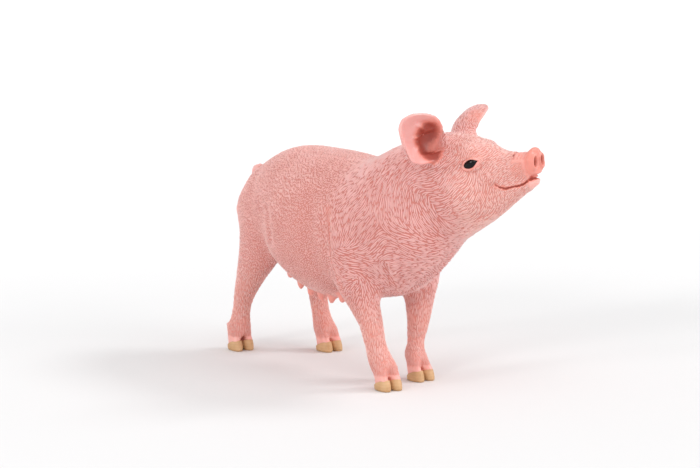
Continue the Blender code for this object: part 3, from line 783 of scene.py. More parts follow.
def make_hoof(foot, which, paint):
    """A painted hoof cap: its edge slopes down to the heel, and its sole is bevelled."""
    side = 1 if (which == "outer") == foot.endswith("left") else -1
    count = 48
    turns = np.linspace(0, 2 * math.pi, count, endpoint=False)
    edge = 2.6 + 0.35 * np.cos(turns) - 1.9 * ((1 - np.cos(turns)) / 2) ** 2.2
    # Each ring's share of the edge's height, how much higher it lies, and how far it is drawn in.
    wall = [
        (0.0, 0.0, 0.75), (0.0, 0.03, 0.4), (0.03, 0.12, 0.14), (0.14, 0.35, 0.03),
        (0.45, 0.35, 0.0), (0.75, 0.2, 0.0), (0.93, 0.06, -0.02), (0.99, 0.0, 0.05),
        (1.0, 0.0, 0.2), (0.97, -0.1, 0.45),
    ]
    rings = [
        toe_ring(edge * share + lift * (share < 0.9), inset, foot, side)
        for share, lift, inset in wall
    ]
    rings[0][:, 2] = 0
    low = rings[0].mean(axis=0)
    high = rings[-1].mean(axis=0)
    cap = closed_lathe(f"hoof_cap_{foot}_{which}", rings, low, high)
    finish_piece(cap, paint, [f"hoof_{foot}_{which}"])


# --- hair ---

# The lie of the hair on one side of the body: a place (forward, out from the trunk's middle plane,
# up) and the way it lies there. The other side mirrors it.
BODY_LIE = [
    ((20, 9.6, 53), (0.3, -0.5, 0.8)), ((26, 5.2, 57), (0.4, -0.6, 0.7)),
    ((28, 6, 51.5), (0, -0.3, 1)), ((26, 9.4, 48), (-0.3, -0.4, 0.9)),
    ((27, 10.3, 45), (-0.5, 0, 0.9)), ((23, 12.9, 42), (0.7, -0.3, 0.7)),
    ((18, 14.2, 40.5), (0.5, -0.2, 0.9)), ((20.5, 13.7, 38), (0.8, -0.2, 0.6)),
    ((25.7, 12, 38.7), (0.6, -0.2, 0.7)), ((28.5, 10.4, 41), (-0.8, 0.5, 0.4)),
    ((31, 8.4, 40.6), (-0.6, 0.6, 0.5)), ((31.6, 7.3, 38), (-0.5, 0.8, 0.3)),
    ((32.8, 5.1, 41.8), (-0.3, 0.5, 0.8)), ((30.5, 4.8, 48.5), (-0.1, -0.2, 1)),
    ((32, 4.7, 44.7), (-0.5, 0.3, 0.8)), ((32, 6.1, 36.2), (-0.4, 0.9, 0.2)),
    ((30.2, 3.3, 30.4), (0.6, -0.7, 0.4)), ((32.6, 0.6, 33.4), (0, -1, 0)),
    ((18.3, 14.2, 33.3), (-0.7, 0.5, 0.4)), ((18, 14, 26.2), (0.6, -0.3, 0.8)),
    ((20.7, 10.8, 27.6), (-0.2, 0.6, 0.8)), ((11.3, 15.4, 41.2), (0, -0.1, 1)),
    ((15.7, 15.4, 30.4), (-0.9, 0.3, 0.3)), ((14, 13, 50), (0.5, -0.4, 0.7)),
    ((-1.3, 16, 42), (0.6, -0.3, 0.7)), ((2, 12.7, 26.8), (0.9, 0, 0.4)),
    ((-11, 14.2, 50.4), (0.2, -0.5, 0.9)), ((-30.7, 14.2, 34.6), (0.5, 0, 0.8)),
    ((-18.7, 6, 56.9), (0.9, -0.4, 0.2)), ((0, 5, 58), (0.9, -0.3, 0.1)),
    ((0, 4, 21), (1, 0.2, 0)), ((-43, 7, 42), (0.2, 0.2, 0.9)), ((-22, 14, 20), (0.2, 0, 1)),
    ((-30, 10, 14), (0.1, 0, 1)), ((22, 8, 18), (0.1, 0, 1)), ((20, 8, 10), (0, 0, 1)),
]
# The same on the head: behind the disc, out to the side, up; then ahead, out, up.
HEAD_LIE = [
    ((15.2, 7.2, -2.1), (0, -0.3, 1)), ((18.5, 9.2, -5.1), (0.7, -0.2, 0.7)),
    ((20.4, 8.5, -1.7), (0.8, -0.2, 0.6)), ((18, 9.1, -7.6), (0.7, -0.1, 0.7)),
    ((20.9, 9.1, -9.2), (0.9, 0.2, 0.4)), ((16.6, 8.4, -9.1), (0.7, -0.1, 0.7)),
    ((13.3, 6.3, -7.4), (0.3, -0.2, 0.9)), ((10.3, 4.5, -7), (0.2, -0.1, 1)),
    ((9.1, 3.9, -8.5), (0.6, 0, 0.8)), ((7, 3.8, -3.9), (0.8, -0.1, 0.5)),
    ((9.5, 4.8, 0.3), (0.8, -0.4, 0.4)), ((6.5, 4, 0.1), (0.9, -0.3, 0.4)),
    ((11.1, 3.9, 3.2), (0.4, -0.8, 0.4)), ((13.2, 2.3, 5.5), (0, 1, 0.2)),
    ((19.6, 5.7, 6.1), (0.2, -0.7, 0.7)), ((4.5, 2.8, -4.4), (0.8, -0.3, 0.5)),
    ((13.5, 5, -11.1), (0.7, -0.1, 0.7)), ((17.2, 5, -14), (0.9, -0.3, 0.3)),
    ((27, 9, -10.7), (0, 0, 1)), ((23.6, 8.8, -8.7), (-0.9, -0.1, 0.1)),
    ((19.6, 9, -9.6), (1, -0.1, 0.1)), ((21.8, 8.5, -0.8), (0.8, -0.2, 0.6)),
    ((19, 9.3, -4.9), (0.7, -0.2, 0.6)), ((27, 9, -3), (1, -0.2, 0)),
    ((26, 8.5, -15), (-0.5, 0.7, 0.5)), ((27, 9.3, -18), (-0.5, 0.8, 0.3)),
]

# How far a guide of the lie reaches, as the square of a length: close by, and further off with a
# small share.
NEAR_GUIDE = 14
FAR_GUIDE = 160
FAR_SHARE = 0.004

# How a stroke is traced and kept: steps each way, the spacing of its points, the cells that mark taken
# places, how many roots are traced at once, how far from its ends others keep, as a share of how far
# they keep from its middle, the seed of their order, and the least share of a length that may be left.
TRACE_STEPS = 5
SPINE_STEP = 0.42
MARK_CELL = 0.15
ROOTS_AT_ONCE = 4000
END_SHARE = 0.62
STROKE_SEED = 11
LEAST_LEFT = 0.3


def lie_guides():
    """Places and directions of the lie, in the frame, on both sides."""
    places, ways = [], []
    turn = np.stack([AHEAD, LEFT, HEAD_UP])
    for side in SIDES.values():
        for (x, out, z), (dx, dout, dz) in BODY_LIE:
            places.append((x, MIDDLE_PLANE + side * out, z))
            ways.append((dx, side * dout, dz))
        for (back, out, up), (ahead, dout, dup) in HEAD_LIE:
            places.append(from_head(back, side * out, up))
            ways.append(np.array([ahead, side * dout, dup]) @ turn)
    return np.array(places), unit(np.array(ways))


def tangents(normals):
    """Two directions across each normal."""
    helper = np.where(np.abs(normals[:, 2:]) < 0.9, UP, np.array([1.0, 0, 0]))
    first = unit(np.cross(helper, normals))
    return first, np.cross(normals, first)


def hair_lie(points, normals, wander):
    """The way the hair lies at each point: the guides blended, wandering by an angle."""
    first, second = tangents(normals)
    places, ways = lie_guides()
    cosine, sine = np.zeros(len(points)), np.zeros(len(points))
    for place, way in zip(places, ways):
        away = ((points - place) ** 2).sum(axis=1)
        weight = np.exp(-away / NEAR_GUIDE) + FAR_SHARE * np.exp(-away / FAR_GUIDE) + 1e-5 / (1 + away)
        a, b = first @ way, second @ way
        cosine += weight * (a * a - b * b)
        sine += weight * 2 * a * b
    angle = 0.5 * np.arctan2(sine, cosine) + wander
    lie = first * np.cos(angle)[:, None] + second * np.sin(angle)[:, None]
    for name in SIDES:
        root = ear_point(name, 23.5, 7, 5)
        near = ramp(distance(points, ear_point(name, *EAR_MIDDLE)), 11.0, 9.0)
        spread = points - root
        spread -= normals * (spread * normals).sum(axis=1)[:, None]
        lie = np.where(near[:, None] > 0.5, unit(spread), lie)
    return lie


def hair_zones(points, normals):
    """What hair grows where: its kind, spacing, length and where none grows."""
    head = to_head(points)
    back, up = head[:, 0], head[:, 2]
    on_head = ramp(back, 29, 26) * ramp(points[:, 0], 26, 30)
    fine_face = on_head * np.maximum(ramp(back, 14.5, 11), ramp(up, 0.5, 4))
    front_half = ramp(points[:, 0] + 0.12 * (points[:, 2] - 40), 3.0, 17.0)
    low = ramp(points[:, 2], 24.5, 20.0)
    coarse = front_half * (1 - fine_face) * (1 - low)
    kind = np.select(
        [np.maximum(fine_face, ear_nearness(points)) > 0.5, low > 0.5, coarse > 0.5],
        ["face", "legs", "shoulders"], "trunk",
    )
    pitch = 0.42 + 0.12 * coarse + 0.02 * low
    length = 0.95 + 3.0 * coarse + 1.2 * low + 1.3 * fine_face
    length = length * (1 - 0.4 * coarse * ramp(points[:, 2], 34, 26))
    lips = path_distance(head[:, SIDE_ON], MOUTH)
    layers = [
        ear_inside(points, normals),
        ramp(back, 3.1, 2.7) * ramp(up, -3.4, -2.6),
        ramp(back, 2.6, 1.8),
        ramp(lips, 0.5, 0.35) * ramp(back, 14, 12),
        ramp(back, 5.6, 5.2) * ramp(up, 0.2, 0.8),
        teat_nearness(points),
        ramp(points[:, 2], 4.0, 3.8),
        ramp(points[:, 0], -46.2, -46.8) * ramp(points[:, 2], 31.0, 32.0),
    ]
    for name, side in SIDES.items():
        axes, middle = eye_axes(side)
        almond = np.linalg.norm((points - middle) @ axes.T / (2.5, 4.0, 1.35), axis=1)
        layers += [
            ramp(distance(points, ear_point(name, 24.8, 22.5, 9.5)), 5.0, 4.0),
            ramp(almond, 1.1, 1.0),
        ]
    return kind, pitch, length, np.maximum.reduce(layers)


def hair_darkening(points):
    """How much darker and greyer the hair and its valleys are made: most on the trunk and the neck."""
    head = to_head(points)
    on_face = ramp(head[:, 0], 25, 15) * ramp(points[:, 0], 24, 30)
    on_neck = ramp(points[:, 0] + 0.12 * (points[:, 2] - 40), 3, 17)
    return (1 - on_face) * ramp(points[:, 2], 13, 28) * (0.62 + 0.38 * on_neck)


def make_lookup(points, cell=0.4):
    """A function that gives the surface point near each place, read from a grid of cells."""
    low = points.min(axis=0) - 4 * cell
    size = ((points.max(axis=0) - low) / cell).astype(int) + 6
    table = np.full(size, -1, np.int32)
    table[tuple(((points - low) / cell).astype(int).T)] = np.arange(len(points))
    for _ in range(2):
        for axis in range(3):
            for step in (1, -1):
                moved = np.roll(table, step, axis)
                table = np.where(table < 0, moved, table)
    return lambda places: table[tuple(((places - low) / cell).astype(int).T)]


def trace(points, normals, lie, lookup, roots, steps):
    """Follows the lie both ways from each root, keeping to the surface."""
    paths = [points[roots]]
    marks = [roots]
    for sign in (1, -1):
        place, at = points[roots], roots
        way = lie[roots] * sign
        ahead, found = [], []
        for _ in range(TRACE_STEPS):
            place = place + way * steps[:, None]
            near = lookup(place)
            at = np.where(near < 0, at, near)
            place = place - normals[at] * ((place - points[at]) * normals[at]).sum(axis=1)[:, None]
            turned = lie[at]
            turned = turned * np.where((turned * way).sum(axis=1) < 0, -1, 1)[:, None]
            way = unit(turned - normals[at] * (turned * normals[at]).sum(axis=1)[:, None])
            ahead.append(place)
            found.append(at)
        paths = paths + ahead if sign == 1 else ahead[::-1] + paths
        marks = marks + found if sign == 1 else found[::-1] + marks
    return np.stack(paths, axis=1), np.stack(marks, axis=1)


def ball_of_cells(radius):
    reach = int(math.ceil(radius / MARK_CELL))
    grid = np.arange(-reach, reach + 1)
    cells = np.stack(np.meshgrid(grid, grid, grid, indexing="ij"), axis=-1).reshape(-1, 3)
    return cells[np.linalg.norm(cells, axis=1) * MARK_CELL <= radius]


def place_strokes(points, normals):
    """Strokes spread over the skin: each keeps its distance from those already there."""
    kind, pitch, length, bare = hair_zones(points, normals)
    wander = np.radians(11) * waves(points, 6.0, 5)
    wander += np.where(kind == "trunk", np.radians(26) * waves(points, 1.9, 6), 0)
    lie = hair_lie(points, normals, wander)
    lookup = make_lookup(points)
    low = points.min(axis=0) - 2
    size = ((points.max(axis=0) - low + 2) / MARK_CELL).astype(int)
    taken = np.zeros(size, bool)
    flat_taken = taken.reshape(-1)
    strides = np.array([size[1] * size[2], size[2], 1])
    random = np.random.default_rng(STROKE_SEED)
    order = random.permutation(np.nonzero(bare < 0.5)[0])
    balls = {}
    strokes = []
    for begin in range(0, len(order), ROOTS_AT_ONCE):
        roots = order[begin:begin + ROOTS_AT_ONCE]
        cells = ((points[roots] - low) / MARK_CELL).astype(int) @ strides
        roots = roots[~flat_taken[cells]]
        if not len(roots):
            continue
        steps = length[roots] * random.uniform(0.7, 1.25, len(roots)) / (2 * TRACE_STEPS)
        paths, marks = trace(points, normals, lie, lookup, roots, steps)
        cells = ((paths - low) / MARK_CELL).astype(int) @ strides
        closed = bare[marks] > 0.5
        for i, root in enumerate(roots):
            blocked = flat_taken[cells[i]] | closed[i]
            if blocked[TRACE_STEPS]:
                continue
            before = np.nonzero(blocked[:TRACE_STEPS])[0]
            after = np.nonzero(blocked[TRACE_STEPS:])[0]
            start = before[-1] + 1 if len(before) else 0
            stop = TRACE_STEPS + after[0] if len(after) else 2 * TRACE_STEPS + 1
            if (stop - start) * steps[i] < LEAST_LEFT * length[root] or stop - start < 4:
                continue
            wide = round(0.6 * pitch[root], 2)
            for share in (END_SHARE, 1.0):
                if (wide, share) not in balls:
                    balls[wide, share] = ball_of_cells(wide * share) @ strides
            inner = cells[i, start + 1:stop - 1]
            flat_taken[(inner[:, None] + balls[wide, 1.0]).ravel()] = True
            ends = cells[i, [start, stop - 1]]
            flat_taken[(ends[:, None] + balls[wide, END_SHARE]).ravel()] = True
            strokes.append((root, paths[i, start:stop], marks[i, start:stop]))
    return strokes, kind, pitch


def spine_of(path, marks):
    """Evenly spaced points along a stroke, with the surface points below them."""
    reach = np.concatenate([[0], np.cumsum(np.linalg.norm(np.diff(path, axis=0), axis=1))])
    count = max(4, int(round(reach[-1] / SPINE_STEP)) + 1)
    along = np.linspace(0, reach[-1], count)
    spine = np.stack([np.interp(along, reach, path[:, axis]) for axis in range(3)], axis=1)
    below = marks[np.clip(np.searchsorted(reach, along), 0, len(marks) - 1)]
    return spine, below, along / reach[-1]


def new_socket(tree, name, way, kind):
    made = tree.interface.new_socket(name, in_out=way, socket_type="NodeSocket" + kind)
    return made.identifier


def set_inputs(tree, node, inputs):
    """Gives a node's inputs their values, or links them to the outputs given for them."""
    for key, given in inputs.items():
        if isinstance(given, bpy.types.NodeSocket):
            tree.links.new(given, node.inputs[key])
        else:
            node.inputs[key].default_value = given


def add_node(tree, kind, inputs=(), **settings):
    node = tree.nodes.new(kind)
    for key, setting in settings.items():
        setattr(node, key, setting)
    set_inputs(tree, node, dict(inputs))
    return node


def stroke_tree():
    """Turns paths of edges into ridges that swell from one tip and sink to the other."""
    tree = bpy.data.node_groups.new("raised_strokes", "GeometryNodeTree")
    kinds = {"Geometry": "Geometry", "Width": "Float", "Height": "Float", "Paint": "Material"}
    sockets = {name: new_socket(tree, name, "INPUT", kind) for name, kind in kinds.items()}
    new_socket(tree, "Geometry", "OUTPUT", "Geometry")

    def add(kind, output, inputs=(), **settings):
        return add_node(tree, "GeometryNode" + kind, inputs, **settings).outputs[output]

    given = add_node(tree, "NodeGroupInput").outputs
    paths = add("MeshToCurve", "Curve", {"Mesh": given["Geometry"]})
    rise = add("InputNamedAttribute", "Attribute", {"Name": "rise"}, data_type="FLOAT_VECTOR")
    swell = add("InputNamedAttribute", "Attribute", {"Name": "swell"}, data_type="FLOAT")
    upright = add("SetCurveNormal", "Curve", {"Curve": paths, "Normal": rise}, mode="FREE")
    circle = add("CurvePrimitiveCircle", "Curve", {"Resolution": 3, "Radius": 1})
    size = {"X": given["Height"], "Y": given["Width"], "Z": 1}
    shape = add_node(tree, "ShaderNodeCombineXYZ", size).outputs["Vector"]
    section = add("Transform", "Geometry", {"Geometry": circle, "Scale": shape})
    sweep = {"Curve": upright, "Profile Curve": section, "Scale": swell, "Fill Caps": True}
    ridges = add("RealizeInstances", "Geometry", {"Geometry": add("CurveToMesh", "Mesh", sweep)})
    painted = add("SetMaterial", "Geometry", {"Geometry": ridges, "Material": given["Paint"]})
    add_node(tree, "NodeGroupOutput", {"Geometry": painted})
    return tree, sockets


def skin_map(skin):
    """A function that gives each place's spot on an unwrap of the skin's own shape."""
    flat = new_object("flat", skin.data.copy())
    fewer = flat.modifiers.new("fewer", "DECIMATE")
    fewer.ratio = 0.08
    apply_modifiers(flat)
    bpy.context.view_layer.objects.active = flat
    flat.select_set(True)
    bpy.ops.object.mode_set(mode="EDIT")
    bpy.ops.mesh.select_all(action="SELECT")
    bpy.ops.mesh.quads_convert_to_tris()
    bpy.ops.uv.smart_project(island_margin=0.004)
    bpy.ops.object.mode_set(mode="OBJECT")
    mesh = flat.data
    corners = get_corners(mesh).reshape(-1, 3)
    spots = read_rows(mesh.uv_layers.active.data, "uv", 2).reshape(-1, 3, 2)
    places = get_points(mesh)
    tree = BVHTree.FromPolygons(places.tolist(), corners.tolist())
    bpy.data.objects.remove(flat)

    def read(roots):
        faces = np.array([tree.find_nearest(root)[2] for root in roots.tolist()])
        a, b, c = (places[corners[faces, i]] for i in range(3))
        across, up, over = b - a, c - a, roots - a
        aa, ab, bb = (across**2).sum(1), (across * up).sum(1), (up**2).sum(1)
        da, db = (over * across).sum(1), (over * up).sum(1)
        spare = np.maximum(aa * bb - ab * ab, 1e-12)
        v = np.clip((bb * da - ab * db) / spare, 0, 1)
        w = np.clip((aa * db - ab * da) / spare, 0, 1)
        u = np.clip(1 - v - w, 0, 1)
        shares = np.stack([u, v, w], axis=1)
        shares /= shares.sum(axis=1, keepdims=True)
        return (shares[:, :, None] * spots[faces]).sum(axis=1)

    return read


# The breadth and height of a zone's strokes, as shares of their spacing, and the size of the patch of
# the skin's unwrap that each stroke lies on.
HAIR_SIZES = {"shoulders": (0.6, 0.5), "trunk": (0.6, 0.44), "legs": (0.62, 0.34), "face": (0.6, 0.38)}
PATCH = 0.003


def hair_paths(name, strokes, seed, surface, read_map):
    """The strokes' spines as one mesh of edges, with what the ridges and the paint read from them."""
    random = np.random.default_rng(seed)
    rows = []
    for root, path, marks, pitch in strokes:
        spine, below, along = spine_of(path, marks)
        swell = np.maximum(np.sin(math.pi * (0.06 + 0.88 * along)), 0.05) ** 0.55
        thin = (1 - 0.75 * surface["bare"][below]) * (0.45 + 0.55 * ramp(spine[:, 2], 4.0, 10.0))
        swell = swell * pitch * random.uniform(0.8, 1.12) * thin
        rows.append((spine, below, along, swell, np.full(len(spine), root)))
    last = np.cumsum([len(row[0]) for row in rows]) - 1
    spine, below, along, swell, root = (np.concatenate(column) for column in zip(*rows))
    first = np.setdiff1d(np.arange(len(spine)), last)
    mesh = bpy.data.meshes.new(name)
    mesh.from_pydata((spine * MM).tolist(), np.stack([first, first + 1], axis=1).tolist(), [])
    rise = surface["normals"][below]
    mesh.attributes.new("rise", "FLOAT_VECTOR", "POINT").data.foreach_set("vector", rise.ravel())
    roots, which = np.unique(root, return_inverse=True)
    spots = read_map(surface["points"][roots])[which]
    values = {
        "swell": swell, "along": along, "root_u": spots[:, 0], "root_v": spots[:, 1],
        "red_and_shade": surface["red_and_shade"][below], "darkening": surface["darkening"][below],
    }
    for key, value in values.items():
        set_values(mesh, key, value)
    return mesh


def make_hair(mesh, size, tree, sockets, paint):
    """One piece of hair relief, raised from its paths."""
    hair = new_object(mesh.name, mesh)
    ridges = hair.modifiers.new("ridges", "NODES")
    ridges.node_group = tree
    for key, value in (("Width", size[0] * MM), ("Height", size[1] * MM), ("Paint", paint)):
        ridges[sockets[key]] = value
    apply_modifiers(hair)
    mesh = hair.data
    set_points(mesh, inside_box(get_points(mesh)))
    side = np.tile([0.0, -1.0, 1.0], len(mesh.vertices) // 3)
    darkening, root_u, root_v, along = (
        read_rows(mesh.attributes[key].data, "value", 1, np.float32)[:, 0]
        for key in ("darkening", "root_u", "root_v", "along")
    )
    # Painted light on each stroke: a pale painted highlight along its crest, painted shade down its
    # sides.
    set_values(mesh, "crest", np.where(side == 0, 0.95, 0.42 - 0.12 * darkening))
    u = root_u + PATCH * 0.5 * side
    v = root_v + PATCH * (along - 0.5)
    places = np.stack([u, v], axis=1)[get_corners(mesh)].astype(np.float32)
    mesh.uv_layers.new(name="OFBake").data.foreach_set("uv", places.ravel())
    for key in ("rise", "swell", "along", "root_u", "root_v"):
        mesh.attributes.remove(mesh.attributes[key])
    finish_piece(hair, paint)


def red_and_shade_of(points, normals, edges):
    """Own red of the disc and teats, and red painted shade in the folds, hollows, mouth, nostrils and
    ears.
    """
    smooth = relax(points, edges, HOLLOW_ROUNDS, np.ones(len(points)))
    hollow = ((smooth - points) * normals).sum(axis=1)
    ear_in = ear_inside(points, normals)
    head = to_head(points)
    back, out, up = head.T
    mouth = path_distance(head[:, SIDE_ON], MOUTH)
    disc = ramp(back, 4.5, 1.0) * ramp(up, -4.6, -3.6)
    # Painted shade: redder low on the body and the legs, unevenly.
    low_shade = 0.12 * ramp(points[:, 2], 26, 14) * (1 + 0.6 * waves(points * (1.6, 1.6, 0.6), 4.0, 9))
    # Painted shade in the hollows and the mouth's line; the disc's and the teats' own red.
    layers = [
        0.7 * ramp(hollow, 0.03, 0.4) * (1 - 0.6 * ear_in),
        0.9 * ramp(mouth, 0.55, 0.15) * ramp(back, 13, 11.5),
        0.55 * disc,
        0.3 * ramp(np.abs(back - 4.2), 2.6, 0.8) * ramp(np.abs(up), 4.2, 2.5),
        np.clip(low_shade, 0, 0.4),
        0.42 * teat_nearness(points),
    ]
    for name, side in SIDES.items():
        across, over = out * side - NOSTRIL_OUT, up - NOSTRIL_UP
        nostril = np.hypot(across / NOSTRIL_HALVES[0], over / NOSTRIL_HALVES[1])
        canal = [ear_point(name, *p) for p in ((25.6, 9.6, 9.4), (25.6, 8.8, 7.4), (25.0, 8.4, 4.4))]
        inner = ear_places(points, name)
        under_rim = np.linalg.norm((inner - (23.6, 10.5, 11.5)) / (3.0, 5.0, 2.6), axis=1)
        crease = [(x, MIDDLE_PLANE + side * aside, z) for x, aside, z in SHOULDER_CREASE]
        axes, middle = eye_axes(side)
        local = (points - middle) @ axes.T
        lid = np.full(len(points), 9.0)
        close = np.linalg.norm(local, axis=1) < 5
        lid[close] = path_distance(local[close][:, SIDE_ON], lid_line())
        # Painted shade in each nostril, in the ear's canal, under its rim and along the shoulder's
        # crease.
        layers += [
            ramp(nostril, 1.25, 0.75) * ramp(back, 2.6, 1.6),
            ear_in * ramp(path_distance(points, canal), 5.6, 2.0),
            0.4 * ramp(under_rim, 1.2, 0.3),
            0.55 * ramp(lid, 0.3, 0.1),
            0.14 * ramp(lid, 2.2, 0.4),
            0.18 * ramp(path_distance(points, crease), 2.0, 0.3),
        ]
    return np.maximum.reduce(layers)


def spread(values, edges, rounds):
    """Evens values out over the surface."""
    return relax(np.stack([values] * 3, axis=1), edges, rounds, np.ones(len(values)))[:, 0]


def make_coat(skin, surface, paint):
    points = surface["points"]
    strokes, kind, pitch = place_strokes(points, surface["normals"])
    surface["bare"] = spread(hair_zones(points, surface["normals"])[3], surface["edges"], BARE_ROUNDS)
    tree, sockets = stroke_tree()
    read_map = skin_map(skin)
    for zone, size in HAIR_SIZES.items():
        for side_name, side in SIDES.items():
            chosen = [
                (root, path, marks, pitch[root]) for root, path, marks in strokes
                if kind[root] == zone and (points[root, 1] - MIDDLE_PLANE) * side >= 0
            ]
            name = f"hair_{zone}_{side_name}"
            mesh = hair_paths(name, chosen, len(strokes), surface, read_map)
            make_hair(mesh, size, tree, sockets, paint)


def mark_skin(skin, surface):
    """Writes on the skin its red and painted shade, and the painted shade of the valleys of the hair."""
    mesh = skin.data
    points, normals = get_points(mesh), get_normals(mesh)
    near = make_lookup(surface["points"])(points)
    set_values(mesh, "red_and_shade", surface["red_and_shade"][near])
    bare = hair_zones(points, normals)[3]
    darkening = surface["darkening"][near]
    set_values(mesh, "darkening", darkening)
    # The skin between the strokes is painted dark as shade in the hair's valleys; bare skin takes a
    # middle tone.
    valley = 0.16 - 0.1 * darkening
    set_values(mesh, "crest", valley + (0.66 - valley) * bare)


# --- finishes ---


def grain_group():
    """Mottle of the paint and grain of the mould, which every finish of the toy shares."""
    group = bpy.data.node_groups.new("mould_grain", "ShaderNodeTree")
    details = {"Mottle": 3, "Grain": 2}
    for name in details:
        new_socket(group, name + " Scale", "INPUT", "Float")
        new_socket(group, name, "OUTPUT", "Float")
    scales = add_node(group, "NodeGroupInput").outputs
    where = object_places(group)
    noises = {}
    for name, detail in details.items():
        inputs = {"Detail": detail, "Vector": where, "Scale": scales[name + " Scale"]}
        noises[name] = add_node(group, "ShaderNodeTexNoise", inputs).outputs["Fac"]
    add_node(group, "NodeGroupOutput", noises)
    return group


def start_material(name, roughness, group, scales, bump_inputs):
    """A material with its shader and the shared grain, which gives it a fine bump."""
    paint = bpy.data.materials.new(name)
    paint.use_nodes = True
    tree = paint.node_tree
    shader = tree.nodes["Principled BSDF"]
    mottle, grain = scales
    inputs = {"Mottle Scale": mottle, "Grain Scale": grain}
    worn = add_node(tree, "ShaderNodeGroup", inputs, node_tree=group).outputs
    strength, depth = bump_inputs
    inputs = {"Height": worn["Grain"], "Strength": strength, "Distance": depth}
    bump = add_node(tree, "ShaderNodeBump", inputs)
    set_inputs(tree, shader, {"Roughness": roughness, "Normal": bump.outputs["Normal"]})
    return paint, tree, shader, worn["Mottle"]


def mix_colours(tree, share, first, second, blend="MIX"):
    """Mixes two colours by a share. Each of the three is a value, or the output that gives it."""
    inputs = {"Factor": share, "A": first, "B": second}
    mix = add_node(tree, "ShaderNodeMix", inputs, data_type="RGBA", blend_type=blend)
    return mix.outputs["Result"]


def colour_ramp(tree, value, *stops):
    """The colour that a ramp between these stops gives a value."""
    made = add_node(tree, "ShaderNodeValToRGB", {"Fac": value})
    elements = made.color_ramp.elements
    while len(elements) < len(stops):
        elements.new(0.5)
    for element, (place, colour) in zip(elements, stops):
        element.position = place
        element.color = (*colour, 1)
    return made.outputs["Color"]


def value_of(tree, name):
    return add_node(tree, "ShaderNodeAttribute", attribute_name=name).outputs["Fac"]


def object_places(tree):
    return add_node(tree, "ShaderNodeTexCoord").outputs["Object"]


# Painted light on the vinyl: the valley's dark red is painted shade, the palest pink a painted
# highlight.
VALLEY_SHADE = (0.60, 0.185, 0.145)
PINK = (0.80, 0.38, 0.33)
PALE_PINK = (0.90, 0.47, 0.42)
CREST_HIGHLIGHT = (0.97, 0.66, 0.62)
DARKENED_GREY = (0.95, 0.92, 0.96)
RED = (0.80, 0.275, 0.215)
# The deep red is painted shade deep in the nostrils, the ear's canal and the mouth.
DEEP_RED_SHADE = (0.36, 0.065, 0.045)
MOTTLED = (0.96, 0.91, 0.9)
WHITE = (1, 1, 1)
BLACK = (0, 0, 0)
TAN = (0.56, 0.32, 0.15)
PALE_TAN = (0.68, 0.42, 0.22)
RING_TAN = (0.46, 0.25, 0.11, 1)
EYE_DARK = (0.002, 0.002, 0.003)
EYE_BROWN = (0.008, 0.005, 0.004)
PAPER = (0.805, 0.803, 0.806)
PALE_PAPER = (0.815, 0.813, 0.816)
# The far paper is whiter: painted light that fades the floor into the white backdrop.
FAR_PAPER_LIGHT = (0.98, 0.98, 0.98, 1)


def pink_vinyl(group):
    """Soft vinyl: a pale painted highlight on the hair's crests, red painted shade in its valleys and
    folds.
    """
    paint, tree, shader, mottle = start_material("pink_vinyl", 0.36, group, (160, 5200), (0.25, 0.00008))
    crest, darkening, red_and_shade = (value_of(tree, name) for name in ("crest", "darkening", "red_and_shade"))
    body = colour_ramp(tree, crest, (0.0, VALLEY_SHADE), (0.35, PINK), (0.65, PALE_PINK), (1.0, CREST_HIGHLIGHT))
    patch = colour_ramp(tree, mottle, (0.3, MOTTLED), (0.7, WHITE))
    greyed = colour_ramp(tree, darkening, (0.0, WHITE), (1.0, DARKENED_GREY))
    for layer in (patch, greyed):
        body = mix_colours(tree, 1, body, layer, "MULTIPLY")
    share = colour_ramp(tree, red_and_shade, (0.0, BLACK), (0.6, WHITE))
    red = colour_ramp(tree, red_and_shade, (0.0, RED), (0.5, RED), (1.0, DEEP_RED_SHADE))
    set_inputs(tree, shader, {
        "Base Color": mix_colours(tree, share, body, red), "Subsurface Weight": 0.15,
        "Subsurface Scale": 0.0008, "Subsurface Radius": (1.0, 0.35, 0.25),
    })
    return paint


def hoof_tan(group):
    """Tan paint on the hooves, with faint growth rings."""
    paint, tree, shader, mottle = start_material("hoof_tan", 0.5, group, (400, 2600), (0.3, 0.0001))
    inputs = {"Scale": 420, "Distortion": 2.5, "Vector": object_places(tree)}
    rings = add_node(tree, "ShaderNodeTexWave", inputs, bands_direction="Z").outputs["Fac"]
    faint = add_node(tree, "ShaderNodeMath", {0: rings, 1: 0.2}, operation="MULTIPLY").outputs["Value"]
    shade = colour_ramp(tree, mottle, (0.3, TAN), (0.7, PALE_TAN))
    set_inputs(tree, shader, {"Base Color": mix_colours(tree, faint, shade, RING_TAN)})
    return paint


def eye_black(group):
    """Black gloss, with a hint of brown."""
    paint, tree, shader, mottle = start_material("eye_black", 0.08, group, (900, 3000), (0.03, 0.00002))
    colour = colour_ramp(tree, mottle, (0.35, EYE_DARK), (0.75, EYE_BROWN))
    set_inputs(tree, shader, {"Base Color": colour, "Specular IOR Level": 0.22})
    return paint


def floor_paper(group):
    """Matt white paper, whiter away from the toy as painted light that fades it into the white backdrop.
    """
    paint, tree, shader, mottle = start_material("floor_paper", 0.9, group, (6, 900), (0.05, 0.0001))
    away = add_node(tree, "ShaderNodeVectorMath", {0: object_places(tree)}, operation="LENGTH")
    far = colour_ramp(tree, away.outputs["Value"], (0.12, BLACK), (0.6, WHITE))
    paper = colour_ramp(tree, mottle, (0.3, PAPER), (0.7, PALE_PAPER))
    colour = mix_colours(tree, far, paper, FAR_PAPER_LIGHT)
    set_inputs(tree, shader, {"Base Color": colour, "Specular IOR Level": 0.1})
    return paint


# --- camera, light and floor ---

